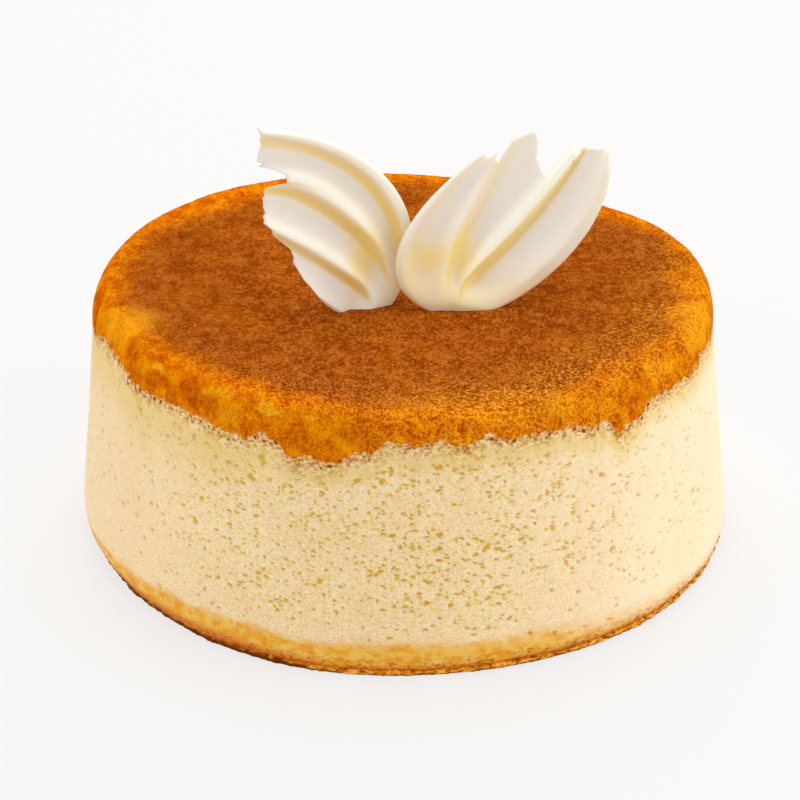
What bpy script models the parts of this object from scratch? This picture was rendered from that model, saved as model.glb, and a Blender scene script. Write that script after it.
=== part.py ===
"""A round jiggly cheesecake with two white chocolate wings standing on its browned top.

Units are metres and +Z is up. The origin is the middle of the flat underside, and the ribbed
faces of the wings look along -Y. The cake is one turned solid, made uneven as a baked one is;
each wing is a thin sheet with raised ribs whose foot stands in a shallow socket in the crust.
"""

import math
from dataclasses import dataclass

import bmesh
import bpy
from mathutils import Vector, noise

MM = 0.001

# Cake: driving sizes
BELLY_RADIUS = 75.3 * MM  # widest, a little above the underside
BELLY_HEIGHT = 6.5 * MM
FOOT_RADIUS = 72.0 * MM  # of the flat underside
SHOULDER_RADIUS = 71.2 * MM  # where the rounded rim of the crust begins
SHOULDER_HEIGHT = 49.0 * MM
TOP_HEIGHT = 60.1 * MM
RIM_ROUND = 5.3 * MM  # how far in the rounded rim reaches, measured flat
RIM_SQUARENESS = 2.3  # 2 is an ellipse; more is a fuller rim
CENTRE_DISH = 0.8 * MM  # the top sinks this much in the middle
TURN_STEPS = 112

# Crust: it ends part-way down the side, standing slightly proud of the crumb below it
CRUST_EDGE_HEIGHT = 53.3 * MM
CRUST_STEP = 0.7 * MM
CRUST_EDGE_ROLL = 0.9 * MM  # height over which the edge rolls in
CRUST_EDGE_NOISE = 1.6 * MM
# The ragged edge: (degrees from the front, towards +X; mm above or below the usual height)
CRUST_EDGE = (
    (-95, 0.3), (-78, -0.2), (-70, 2.7), (-62, 2.3), (-56, -0.2), (-49, -0.5), (-44, 0.2), (-38, -0.2),
    (-31, -1.8), (-28, -1.6), (-25, 0.0), (-22.5, -0.4), (-19.5, -3.6), (-16, -2.9), (-12.5, -3.8),
    (-9.5, -1.6), (-6, -0.4), (-2, 2.0), (3, 1.5), (6.5, 2.7), (11, 1.3), (15, 2.9), (19, 1.8),
    (22, 2.1), (31, 1.4), (34, -0.4), (37.5, -0.2), (40.5, -4.3), (43, -3.1), (46, -3.0), (49, -0.9),
    (54, -1.5), (60, -1.9), (64, -3.0), (69, -0.3), (77, -1.5), (95, 0.2),
)

# Base skin: a thin flaky lip round the lower edge
LIP_REACH = 0.5 * MM
LIP_HEIGHT = 1.5 * MM

# Unevenness of the bake, as waves round the cake: (count in a turn, size, degrees of phase)
TOP_WAVES = ((1, 0.4 * MM, 167), (2, 1.4 * MM, -79), (3, 0.9 * MM, 180))
FOOT_WAVES = ((1, 1.2 * MM, 0), (2, 0.4 * MM, -59), (3, 1.4 * MM, 90))
FOOT_WAVE_HEIGHT = 9.0 * MM
TOP_LEAN = -0.4 * MM  # the top sits this far towards +X

# Wings
WING_ROWS = 16  # from the foot to the broken end
WING_THICKEST = 5.0 * MM
WING_SHEET = 1.5 * MM  # between the ribs, at the foot
WING_TIP = 0.9 * MM  # between the ribs, at the broken end
RIB_GENTLE = 0.13  # width of each rib's slope before its crest, as a share of the way across
RIB_STEEP = 0.06  # and after it
BROKEN_FROM = 0.5  # share of the length from which the grid follows the broken end
SOCKET_GAP = 0.45 * MM
BOW = Vector((0.0, -0.9, 0.44))  # the way a wing bows: forwards and up
FRONT = -math.pi / 2

CREAM = (0.86, 0.66, 0.36)
BROWNED = (0.50, 0.15, 0.018)
BASE_GOLD = (0.68, 0.32, 0.05)
WHITE_CHOCOLATE = (0.88, 0.80, 0.62)


def smooth_step(low, high, value):
    """0 below low, 1 above high, and an S curve between."""
    share = min(1.0, max(0.0, (value - low) / (high - low)))
    return share * share * (3.0 - 2.0 * share)


def clear_scene():
    for obj in list(bpy.data.objects):
        bpy.data.objects.remove(obj, do_unlink=True)


def new_collection(name):
    collection = bpy.data.collections.new(name)
    bpy.context.scene.collection.children.link(collection)
    return collection


def new_material(name, colour, roughness):
    material = bpy.data.materials.new(name)
    material.use_nodes = True
    shader = material.node_tree.nodes["Principled BSDF"]
    shader.inputs["Base Color"].default_value = (*colour, 1.0)
    shader.inputs["Roughness"].default_value = roughness
    shader.inputs["Metallic"].default_value = 0.0
    material.diffuse_color = (*colour, 1.0)
    return material


def move_to(obj, collection):
    for owner in list(obj.users_collection):
        owner.objects.unlink(obj)
    collection.objects.link(obj)


# The cake


def outer_radius(height):
    """Radius at a height: tucked in under the belly, a sloping side, and a rounded rim."""
    if height <= BELLY_HEIGHT:
        fall = 1.0 - max(0.0, height) / BELLY_HEIGHT
        return BELLY_RADIUS - (BELLY_RADIUS - FOOT_RADIUS) * (1.0 - math.sqrt(1.0 - fall * fall))
    if height <= SHOULDER_HEIGHT:
        rise = (height - BELLY_HEIGHT) / (SHOULDER_HEIGHT - BELLY_HEIGHT)
        return BELLY_RADIUS + (SHOULDER_RADIUS - BELLY_RADIUS) * rise
    rise = min(1.0, (height - SHOULDER_HEIGHT) / (TOP_HEIGHT - SHOULDER_HEIGHT))
    return SHOULDER_RADIUS - RIM_ROUND * (1.0 - (1.0 - rise**RIM_SQUARENESS) ** (1.0 / RIM_SQUARENESS))


def rim_point(turn):
    """A point on the rounded rim, from 0 degrees at the shoulder to 90 on top."""
    rise = math.sin(math.radians(turn)) ** (2.0 / RIM_SQUARENESS)
    height = SHOULDER_HEIGHT + (TOP_HEIGHT - SHOULDER_HEIGHT) * rise
    return outer_radius(height), height


def cake_profile():
    """(radius, height) from the middle of the top, out over the rim, and down to the middle below."""
    flat_edge = SHOULDER_RADIUS - RIM_ROUND
    points = []
    for share in (0.0, 0.3, 0.6, 0.86):
        dish = CENTRE_DISH * (1.0 - smooth_step(0.0, 0.86, share))
        points.append((share * flat_edge, TOP_HEIGHT - dish))
    points += [rim_point(turn) for turn in (90, 73, 57, 42, 29)]
    points.append((outer_radius(CRUST_EDGE_HEIGHT), CRUST_EDGE_HEIGHT))
    crumb_height = CRUST_EDGE_HEIGHT - CRUST_EDGE_ROLL
    points.append((outer_radius(crumb_height) - CRUST_STEP, crumb_height))
    for height in (47.5 * MM, 38.0 * MM, 28.0 * MM, 18.0 * MM, 11.0 * MM, BELLY_HEIGHT, 2.2 * LIP_HEIGHT):
        points.append((outer_radius(height), height))
    lip_radius = outer_radius(LIP_HEIGHT) + LIP_REACH
    points += [(lip_radius, LIP_HEIGHT), (lip_radius - 0.2 * MM, 0.5 * LIP_HEIGHT)]
    points += [(FOOT_RADIUS, 0.0), (0.5 * FOOT_RADIUS, 0.0), (0.0, 0.0)]
    return points


def from_front(angle):
    """Degrees round from the front, towards +X, of an angle about Z."""
    return math.degrees(math.remainder(angle - FRONT, 2.0 * math.pi))


def waves(table, degrees):
    return sum(size * math.sin(math.radians(count * degrees + phase)) for count, size, phase in table)


def crust_rise(degrees):
    """How far the crust's ragged edge is above its usual height, at degrees from the front."""
    turn = math.radians(degrees)
    rise = CRUST_EDGE_NOISE * noise.noise(Vector((5.0 * math.cos(turn), 5.0 * math.sin(turn), 0.0)))
    rise *= smooth_step(70.0, 95.0, abs(degrees))
    for (left, here), (right, there) in zip(CRUST_EDGE, CRUST_EDGE[1:]):
        if left <= degrees < right:
            return rise + MM * (here + (there - here) * smooth_step(left, right, degrees))
    return rise


def made_uneven(point):
    """A point of the turned shape, moved to where the uneven bake has it."""
    radius, height = math.hypot(point.x, point.y), point.z
    angle = math.atan2(point.y, point.x)
    degrees = from_front(angle)
    outside = smooth_step(0.9 * SHOULDER_RADIUS, 0.98 * SHOULDER_RADIUS, radius)
    near_edge = math.exp(-(((height - CRUST_EDGE_HEIGHT) / (5.0 * MM)) ** 2))
    rise = crust_rise(degrees) * near_edge * outside
    radius += (outer_radius(height + rise) - outer_radius(height)) * outside
    in_foot = max(0.0, 1.0 - height / FOOT_WAVE_HEIGHT) * (radius / FOOT_RADIUS)
    radius += waves(FOOT_WAVES, degrees) * in_foot
    share = height / TOP_HEIGHT
    rise += waves(TOP_WAVES, degrees) * share * share * (radius / SHOULDER_RADIUS) ** 2
    return Vector((
        radius * math.cos(angle) + TOP_LEAN * share,
        radius * math.sin(angle),
        height + rise,
    ))


def turned_mesh(name, profile, steps):
    """A closed mesh of a profile turned a full circle round Z."""
    mesh = bpy.data.meshes.new(name + "_profile")
    mesh.from_pydata([(r, 0.0, z) for r, z in profile], [(i, i + 1) for i in range(len(profile) - 1)], [])
    guide = bpy.data.objects.new(name + "_profile", mesh)
    bpy.context.scene.collection.objects.link(guide)
    screw = guide.modifiers.new("turn", "SCREW")
    screw.steps = steps
    screw.render_steps = steps
    screw.use_merge_vertices = True
    screw.merge_threshold = 0.00001
    graph = bpy.context.evaluated_depsgraph_get()
    turned = bpy.data.meshes.new_from_object(guide.evaluated_get(graph))
    bpy.data.objects.remove(guide, do_unlink=True)
    turned.name = name
    return turned


def colour_cake(mesh):
    """Gives each face the crumb, crust or base material by where it lies."""
    for name, colour, roughness in (
        ("cheesecake_crumb", CREAM, 0.8),
        ("browned_crust", BROWNED, 0.65),
        ("browned_base", BASE_GOLD, 0.75),
    ):
        mesh.materials.append(new_material(name, colour, roughness))
    for face in mesh.polygons:
        middle = face.center
        on_side = math.hypot(middle.x, middle.y) > 0.9 * FOOT_RADIUS
        if middle.z > (CRUST_EDGE_HEIGHT - CRUST_EDGE_ROLL if on_side else 0.5 * TOP_HEIGHT):
            face.material_index = 1
        elif middle.z < 1.7 * LIP_HEIGHT:
            face.material_index = 2


def build_cake(collection):
    mesh = turned_mesh("cheesecake", cake_profile(), TURN_STEPS)
    colour_cake(mesh)
    for vertex in mesh.vertices:
        vertex.co = made_uneven(vertex.co)
    mesh.shade_smooth()
    cake = bpy.data.objects.new("cheesecake", mesh)
    collection.objects.link(cake)
    return cake


# The wings


@dataclass(frozen=True)
class Wing:
    """A white chocolate wing: a thin sheet spanned by four guide curves that fan out of its foot.

    Guides run from the foot to the broken end, in the wing's own plane: (across, up) in mm.
    Ribs are (share of the way across from the first guide, height in mm). Ends are (share of the
    way across, share of the length) where the sheet broke off, one for each column of the grid.
    """

    name: str
    foot: tuple  # where the plane's origin stands on the cake, mm
    yaw: float  # degrees, turned about Z
    lean: float  # degrees, leaning back from upright
    cup: float  # how far the side edges bow, mm
    curl: float  # how far the broken end bows, mm
    foot_swell: float  # extra thickness of the foot, mm
    guides: tuple
    ribs: tuple
    ends: tuple

    def axes(self):
        """The plane's directions: across, up, and out of its ribbed face."""
        yaw, lean = math.radians(self.yaw), math.radians(self.lean)
        across = Vector((math.cos(yaw), math.sin(yaw), 0.0))
        back = Vector((-math.sin(yaw), math.cos(yaw), 0.0))
        up = Vector((0.0, 0.0, math.cos(lean))) + back * math.sin(lean)
        return across, up, across.cross(up)

    def flat_point(self, along, over):
        """(across, up) in mm at a share along the guides and a share over from the first guide."""
        return catmull_rom([bezier(guide, along) for guide in self.guides], over)

    def place(self, row, column):
        """A point of the sheet's back face, in metres; row is a share of the rows from the foot."""
        over, end = self.ends[column]
        along = row + (end - 1.0) * max(0.0, row - BROKEN_FROM) / (1.0 - BROKEN_FROM)
        across, up, _ = self.axes()
        flat = self.flat_point(along, over)
        bow = self.cup * (2.0 * over - 1.0) ** 2 * smooth_step(0.0, 0.5, along) + self.curl * along * along
        return (Vector(self.foot) + across * flat[0] + up * flat[1] + BOW * bow) * MM

    def thickness(self, along, column):
        """Thickness of the chocolate in metres: a sheet, its ribs, and the full foot."""
        over = self.ends[column][0]
        raised = 0.0
        for crest, height in self.ribs:
            off = over - crest
            width = RIB_GENTLE if off < 0.0 else RIB_STEEP
            raised += height * MM * math.exp(-((off / width) ** 2))
        grown = smooth_step(0.06, 0.5, along) * (1.0 - 0.35 * along)
        sheet = WING_SHEET + (WING_TIP - WING_SHEET) * along
        swell = math.exp(-(((along - 0.08) / 0.10) ** 2)) * math.sin(math.pi * over) ** 0.5
        return min(WING_THICKEST, sheet + raised * grown + self.foot_swell * MM * swell)


def bezier(points, share):
    """The point at a share along a cubic Bezier of four (across, up) points."""
    rest = 1.0 - share
    weights = (rest**3, 3.0 * rest * rest * share, 3.0 * rest * share * share, share**3)
    return tuple(sum(w * p[axis] for w, p in zip(weights, points)) for axis in (0, 1))


def catmull_rom(points, share):
    """The point at a share along a smooth curve through all the points."""
    spans = len(points) - 1
    span = min(int(share * spans), spans - 1)
    u = share * spans - span
    before, here = points[max(span - 1, 0)], points[span]
    there, after = points[span + 1], points[min(span + 2, spans)]
    found = []
    for a, b, c, d in zip(before, here, there, after):
        bent = (2.0 * a - 5.0 * b + 4.0 * c - d) * u * u + (3.0 * b - a - 3.0 * c + d) * u**3
        found.append(b + 0.5 * ((c - a) * u + bent))
    return tuple(found)


LEFT_WING = Wing(
    name="wing_left",
    foot=(-4.2, -13.6, 59.4),
    yaw=18.0,
    lean=18.0,
    cup=1.5,
    curl=3.0,
    foot_swell=1.2,
    guides=(
        ((4.0, -2.2), (22.0, 31.0), (-17.0, 42.5), (-25.8, 41.6)),
        ((1.0, -2.2), (4.4, 19.5), (-12.5, 33.0), (-25.0, 30.7)),
        ((-2.5, -2.2), (-3.2, 8.2), (-9.8, 11.5), (-25.8, 21.5)),
        ((-6.0, -2.0), (-9.0, -1.0), (-12.0, 1.0), (-14.7, 3.7)),
    ),
    ribs=((0.02, 1.5), (0.345, 1.9), (0.675, 1.6)),
    ends=(
        (0.0, 1.01), (0.03, 1.01), (0.077, 0.99), (0.127, 0.988), (0.17, 1.0), (0.20, 1.01),
        (0.215, 0.984), (0.226, 1.007), (0.246, 0.986), (0.274, 0.925), (0.30, 0.881), (0.334, 0.865),
        (0.358, 0.865), (0.372, 0.935), (0.384, 0.986), (0.413, 1.0), (0.44, 0.988), (0.473, 0.999),
        (0.522, 0.988), (0.585, 0.983), (0.63, 0.992), (0.667, 1.002), (0.686, 0.975), (0.725, 0.98),
        (0.75, 0.925), (0.797, 0.944), (0.84, 1.0), (0.88, 1.03), (0.935, 1.08), (1.0, 1.0),
    ),
)

RIGHT_WING = Wing(
    name="wing_right",
    foot=(8.1, -15.8, 59.4),
    yaw=12.0,
    lean=20.0,
    cup=2.5,
    curl=-1.0,
    foot_swell=2.4,
    guides=(
        ((0.0, -1.2), (-21.5, 14.0), (5.5, 29.0), (12.0, 33.2)),
        ((1.5, -1.8), (-1.8, 11.2), (9.4, 22.4), (15.2, 34.2)),
        ((4.0, -2.0), (1.5, 11.0), (10.0, 8.0), (33.0, 34.0)),
        ((8.0, -1.8), (23.0, -3.0), (43.0, 17.5), (41.5, 33.0)),
    ),
    ribs=((0.02, 1.0), (0.33, 1.5), (0.66, 1.9), (0.92, 1.4)),
    ends=(
        (0.0, 0.975), (0.06, 0.97), (0.12, 0.965), (0.18, 0.963), (0.244, 0.965), (0.28, 0.971),
        (0.317, 0.994), (0.335, 0.996), (0.357, 0.964), (0.385, 0.949), (0.398, 0.98), (0.405, 1.06),
        (0.444, 1.072), (0.459, 1.077), (0.473, 1.067), (0.517, 1.0), (0.55, 0.965), (0.576, 0.944),
        (0.603, 0.927), (0.636, 0.919), (0.645, 0.935), (0.658, 1.002), (0.70, 0.987), (0.733, 0.967),
        (0.745, 0.998), (0.79, 1.0), (0.84, 1.0), (0.90, 1.0), (0.95, 1.0), (1.0, 0.985),
    ),
)


def build_wing(wing, material, collection):
    """The wing as a grid laid on its guides, given its uneven thickness by Solidify."""
    spaces = len(wing.ends) - 1
    bpy.ops.mesh.primitive_grid_add(x_subdivisions=spaces, y_subdivisions=WING_ROWS, size=1.0)
    obj = bpy.context.object
    obj.name = wing.name
    mesh = obj.data
    mesh.name = wing.name
    weights = obj.vertex_groups.new(name="thickness")
    for vertex in mesh.vertices:
        column, row = round((vertex.co.x + 0.5) * spaces), vertex.co.y + 0.5
        weights.add([vertex.index], wing.thickness(row, column) / WING_THICKEST, "REPLACE")
        vertex.co = wing.place(row, column)
    turn_faces_out(mesh, wing.axes()[2])
    solidify = obj.modifiers.new("chocolate", "SOLIDIFY")
    solidify.thickness = WING_THICKEST
    solidify.offset = 1.0
    solidify.vertex_group = weights.name
    mesh.materials.append(material)
    mesh.shade_smooth()
    move_to(obj, collection)
    return obj


def turn_faces_out(mesh, outward):
    """Turns every face of an open sheet so that it looks outward."""
    shell = bmesh.new()
    shell.from_mesh(mesh)
    bmesh.ops.recalc_face_normals(shell, faces=shell.faces)
    facing = sum(face.normal.dot(outward) * face.calc_area() for face in shell.faces)
    if facing < 0.0:
        bmesh.ops.reverse_faces(shell, faces=shell.faces)
    shell.to_mesh(mesh)
    shell.free()


def cut_socket(cake, wing, cutters):
    """Lets the wing's foot into the crust, with a gap all round it."""
    cutter = wing.copy()
    cutter.name = wing.name + "_socket"
    cutters.objects.link(cutter)
    swell = cutter.modifiers.new("gap", "DISPLACE")
    swell.strength = SOCKET_GAP
    swell.mid_level = 0.0
    cutter.hide_render = True
    cutter.display_type = "WIRE"
    cut = cake.modifiers.new(cutter.name, "BOOLEAN")
    cut.operation = "DIFFERENCE"
    cut.solver = "EXACT"
    cut.object = cutter


def main():
    clear_scene()
    parts = new_collection("jiggly_cheesecake")
    cutters = new_collection("cutters")
    cake = build_cake(parts)
    chocolate = new_material("white_chocolate", WHITE_CHOCOLATE, 0.4)
    for wing in (LEFT_WING, RIGHT_WING):
        cut_socket(cake, build_wing(wing, chocolate, parts), cutters)


main()
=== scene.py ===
"""Looks of a round jiggly cheesecake with two white chocolate wings on its browned top.

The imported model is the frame: every piece here is laid on its nodes, in metres, +Z up, with the
front of the cake towards -Y. The cake's solid is replaced by three pieces, its pale crumb, its
browned crust and its browned base, and each wing by a finer one of the same form.
"""

import logging
import math
from dataclasses import dataclass
from enum import Enum
from typing import Any, Callable, Sequence

import bpy
import numpy as np
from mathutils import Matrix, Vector, noise

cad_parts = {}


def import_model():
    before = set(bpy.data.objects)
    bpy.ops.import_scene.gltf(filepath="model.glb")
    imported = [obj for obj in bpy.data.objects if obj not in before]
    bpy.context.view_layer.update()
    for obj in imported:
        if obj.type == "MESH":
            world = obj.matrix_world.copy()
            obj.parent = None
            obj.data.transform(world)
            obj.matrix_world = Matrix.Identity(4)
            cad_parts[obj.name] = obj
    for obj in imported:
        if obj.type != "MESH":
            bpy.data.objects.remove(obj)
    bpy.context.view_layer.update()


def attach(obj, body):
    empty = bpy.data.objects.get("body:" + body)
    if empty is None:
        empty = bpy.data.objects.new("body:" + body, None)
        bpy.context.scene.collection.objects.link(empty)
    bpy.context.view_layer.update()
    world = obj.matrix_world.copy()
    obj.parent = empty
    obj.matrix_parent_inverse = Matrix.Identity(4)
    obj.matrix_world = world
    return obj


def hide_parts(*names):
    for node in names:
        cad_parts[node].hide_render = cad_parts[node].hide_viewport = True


logger = logging.getLogger("cheesecake")

MM = 0.001
FRONT = -math.pi / 2
BODY = "root"
Colour = tuple[float, float, float]


def linear(red: int, green: int, blue: int) -> Colour:
    """A colour in light-linear terms, from its usual 0 to 255 values."""
    shares = (channel / 255.0 for channel in (red, green, blue))
    return tuple(c / 12.92 if c <= 0.04045 else ((c + 0.055) / 1.055) ** 2.4 for c in shares)


def smooth_step(low: float, high: float, value: np.ndarray) -> np.ndarray:
    """0 below low, 1 above high, and an S curve between."""
    share = np.clip((value - low) / (high - low), 0.0, 1.0)
    return share * share * (3.0 - 2.0 * share)


# Node trees


class Signal:
    """A number, vector or colour in a node tree, on which the usual operators add Math nodes."""

    def __init__(self, graph: "Graph", socket: bpy.types.NodeSocket) -> None:
        """Wraps the socket of a node in the graph."""
        self.graph = graph
        self.socket = socket

    def _maths(self, operation: str, *values: Any) -> "Signal":
        """A Math node on these values, which may be signals or numbers."""
        return self.graph.add("ShaderNodeMath", {"operation": operation}, dict(enumerate(values)))

    def __add__(self, other: Any) -> "Signal":
        """The sum."""
        return self._maths("ADD", self, other)

    def __radd__(self, other: Any) -> "Signal":
        """The sum, with the number first."""
        return self._maths("ADD", other, self)

    def __sub__(self, other: Any) -> "Signal":
        """The difference."""
        return self._maths("SUBTRACT", self, other)

    def __rsub__(self, other: Any) -> "Signal":
        """The difference, with the number first."""
        return self._maths("SUBTRACT", other, self)

    def __mul__(self, other: Any) -> "Signal":
        """The product."""
        return self._maths("MULTIPLY", self, other)

    def __rmul__(self, other: Any) -> "Signal":
        """The product, with the number first."""
        return self._maths("MULTIPLY", other, self)

    def __truediv__(self, other: Any) -> "Signal":
        """The quotient."""
        return self._maths("DIVIDE", self, other)

    def __pow__(self, other: Any) -> "Signal":
        """The power."""
        return self._maths("POWER", self, other)

    def larger(self, other: Any) -> "Signal":
        """The larger of the two."""
        return self._maths("MAXIMUM", self, other)

    def ramp(self, low: Any, high: Any) -> "Signal":
        """An S curve between two values.

        Args:
            low: where the curve is 0; it may be the larger of the two.
            high: where the curve is 1.

        Returns:
            A signal from 0 to 1.
        """
        settings = {"interpolation_type": "SMOOTHSTEP"}
        inputs = {0: self, 1: low, 2: high, 3: 0.0, 4: 1.0}
        return self.graph.add("ShaderNodeMapRange", settings, inputs)


class Graph:
    """A node tree, of a material or of geometry, with one method that adds any node."""

    def __init__(self, tree: bpy.types.NodeTree) -> None:
        """Starts writing in the tree."""
        self.tree = tree
        self.shades = tree.bl_idname == "ShaderNodeTree"

    def add(
        self, kind: str, settings: dict | None = None, inputs: dict | None = None, out: Any = 0
    ) -> Signal:
        """Adds a node.

        Args:
            kind: the node's type.
            settings: the node's own properties, set before its inputs.
            inputs: values or signals, by the name or number of the socket.
            out: the name or number of the output that is returned.

        Returns:
            The signal of that output.
        """
        node = self.tree.nodes.new(kind)
        for name, value in (settings or {}).items():
            setattr(node, name, value)
        for name, value in (inputs or {}).items():
            if isinstance(value, Signal):
                self.tree.links.new(value.socket, node.inputs[name])
            else:
                node.inputs[name].default_value = value
        return Signal(self, node.outputs[out])

    def attribute(self, name: str, vector: bool = False) -> Signal:
        """Reads what the mesh carries on its points.

        Args:
            name: the attribute's name.
            vector: whether it is a vector; otherwise it is a number.

        Returns:
            The signal of its value.
        """
        if self.shades:
            out = "Vector" if vector else "Fac"
            return self.add("ShaderNodeAttribute", {"attribute_name": name}, out=out)
        kind = "FLOAT_VECTOR" if vector else "FLOAT"
        return self.add("GeometryNodeInputNamedAttribute", {"data_type": kind}, {"Name": name})

    def stretch(self, vector: Signal, by: Sequence[float]) -> Signal:
        """The vector with each part multiplied."""
        settings = {"operation": "MULTIPLY"}
        return self.add("ShaderNodeVectorMath", settings, {0: vector, 1: tuple(by)})

    def shift(self, vector: Signal, by: Any) -> Signal:
        """The sum of two vectors."""
        return self.add("ShaderNodeVectorMath", {"operation": "ADD"}, {0: vector, 1: by})

    def part(self, vector: Signal, axis: int) -> Signal:
        """One of the three numbers in a vector."""
        return self.add("ShaderNodeSeparateXYZ", inputs={0: vector}, out=axis)

    def cloud(self, place: Signal, size: float, detail: float = 2.0, rough: float = 0.5) -> Signal:
        """Soft noise.

        Args:
            place: where it is read, in metres.
            size: about how large its features are, mm.
            detail: how many finer layers it has.
            rough: how strong each finer layer is.

        Returns:
            A signal from 0 to 1.
        """
        settings = {"noise_dimensions": "3D"}
        inputs = {"Vector": place, "Scale": 1.0 / (size * MM), "Detail": detail, "Roughness": rough}
        return self.add("ShaderNodeTexNoise", settings, inputs)

    def warp(self, place: Signal, size: float, reach: float) -> Signal:
        """Pushes a place about.

        Args:
            place: the place, in metres.
            size: size of the noise that pushes it, mm.
            reach: about how far it is pushed at most, mm.

        Returns:
            The signal of the new place.
        """
        inputs = {"Vector": place, "Scale": 1.0 / (size * MM), "Detail": 1.0}
        push = self.add("ShaderNodeTexNoise", {"noise_dimensions": "3D"}, inputs, out="Color")
        centred = self.shift(push, (-0.5, -0.5, -0.5))
        return self.shift(place, self.stretch(centred, (2.0 * reach * MM,) * 3))

    def cells(self, place: Signal, size: float) -> tuple[Signal, Signal]:
        """Scattered cells.

        Args:
            place: where they are read, in metres.
            size: about how far apart their middles are, mm.

        Returns:
            How far the place is from its cell's middle, as a share of size, and the cell's own
            chance, from 0 to 1.
        """
        settings = {"voronoi_dimensions": "3D", "feature": "F1"}
        inputs = {"Vector": place, "Scale": 1.0 / (size * MM)}
        far = self.add("ShaderNodeTexVoronoi", settings, inputs)
        colour = Signal(self, far.socket.node.outputs["Color"])
        return far, self.part(colour, 0)

    def mix(self, share: Any, first: Any, second: Any) -> Signal:
        """A colour between two.

        Args:
            share: how much of the second there is, from 0 to 1.
            first: the first colour, a tuple or a signal.
            second: the second colour, likewise.

        Returns:
            The signal of the mixed colour.
        """
        first, second = (c if isinstance(c, Signal) else (*c, 1.0) for c in (first, second))
        settings = {"data_type": "RGBA", "clamp_factor": True}
        return self.add("ShaderNodeMix", settings, {0: share, 6: first, 7: second}, out=2)


class Looks(Enum):
    """How a finish takes light, in the shader's own terms."""

    BAKED = "baked"
    CREAMY = "creamy"
    CHOCOLATE = "chocolate"


@dataclass(frozen=True)
class Surface:
    """The numbers of a finish that are the same all over it."""

    roughness: float
    specular: float
    subsurface: float
    reach: float  # how far light spreads under the surface, mm
    spread: Colour  # its share of that in red, green and blue
    sheen: float = 0.0
    coat: float = 0.0
    coat_roughness: float = 0.3


SURFACES = {
    Looks.BAKED: Surface(
        roughness=0.85, specular=0.0, subsurface=0.0, reach=0.9, spread=(1.0, 0.45, 0.15)
    ),
    Looks.CREAMY: Surface(
        roughness=0.7, specular=0.15, subsurface=0.15, reach=0.5, spread=(1.0, 0.8, 0.5), sheen=0.03
    ),
    Looks.CHOCOLATE: Surface(
        roughness=0.45, specular=0.3, subsurface=0.5, reach=2.0, spread=(1.0, 0.88, 0.62),
        coat=0.15, coat_roughness=0.25,
    ),
}


class Finish:
    """A material being written: its graph and its shader."""

    def __init__(self, name: str, looks: Looks) -> None:
        """Makes the material and sets what is the same all over it.

        Args:
            name: the material's name.
            looks: how it takes light.
        """
        self.material = bpy.data.materials.new(name)
        self.material.use_nodes = True
        self.graph = Graph(self.material.node_tree)
        self.shader = self.material.node_tree.nodes["Principled BSDF"]
        surface = SURFACES[looks]
        for socket, value in (
            ("Roughness", surface.roughness),
            ("Specular IOR Level", surface.specular),
            ("Subsurface Weight", surface.subsurface),
            ("Subsurface Radius", surface.spread),
            ("Subsurface Scale", surface.reach * MM),
            ("Sheen Weight", surface.sheen),
            ("Coat Weight", surface.coat),
            ("Coat Roughness", surface.coat_roughness),
        ):
            self.shader.inputs[socket].default_value = value

    def paint(self, socket: str, signal: Signal) -> None:
        """Feeds a signal to one of the shader's sockets."""
        self.material.node_tree.links.new(signal.socket, self.shader.inputs[socket])

    def emboss(self, height: Signal, strength: float = 1.0) -> None:
        """Relief too fine for the mesh, from a height in metres."""
        inputs = {"Height": height, "Strength": strength, "Distance": 1.0}
        self.paint("Normal", self.graph.add("ShaderNodeBump", inputs=inputs))


# The cake's form


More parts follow.
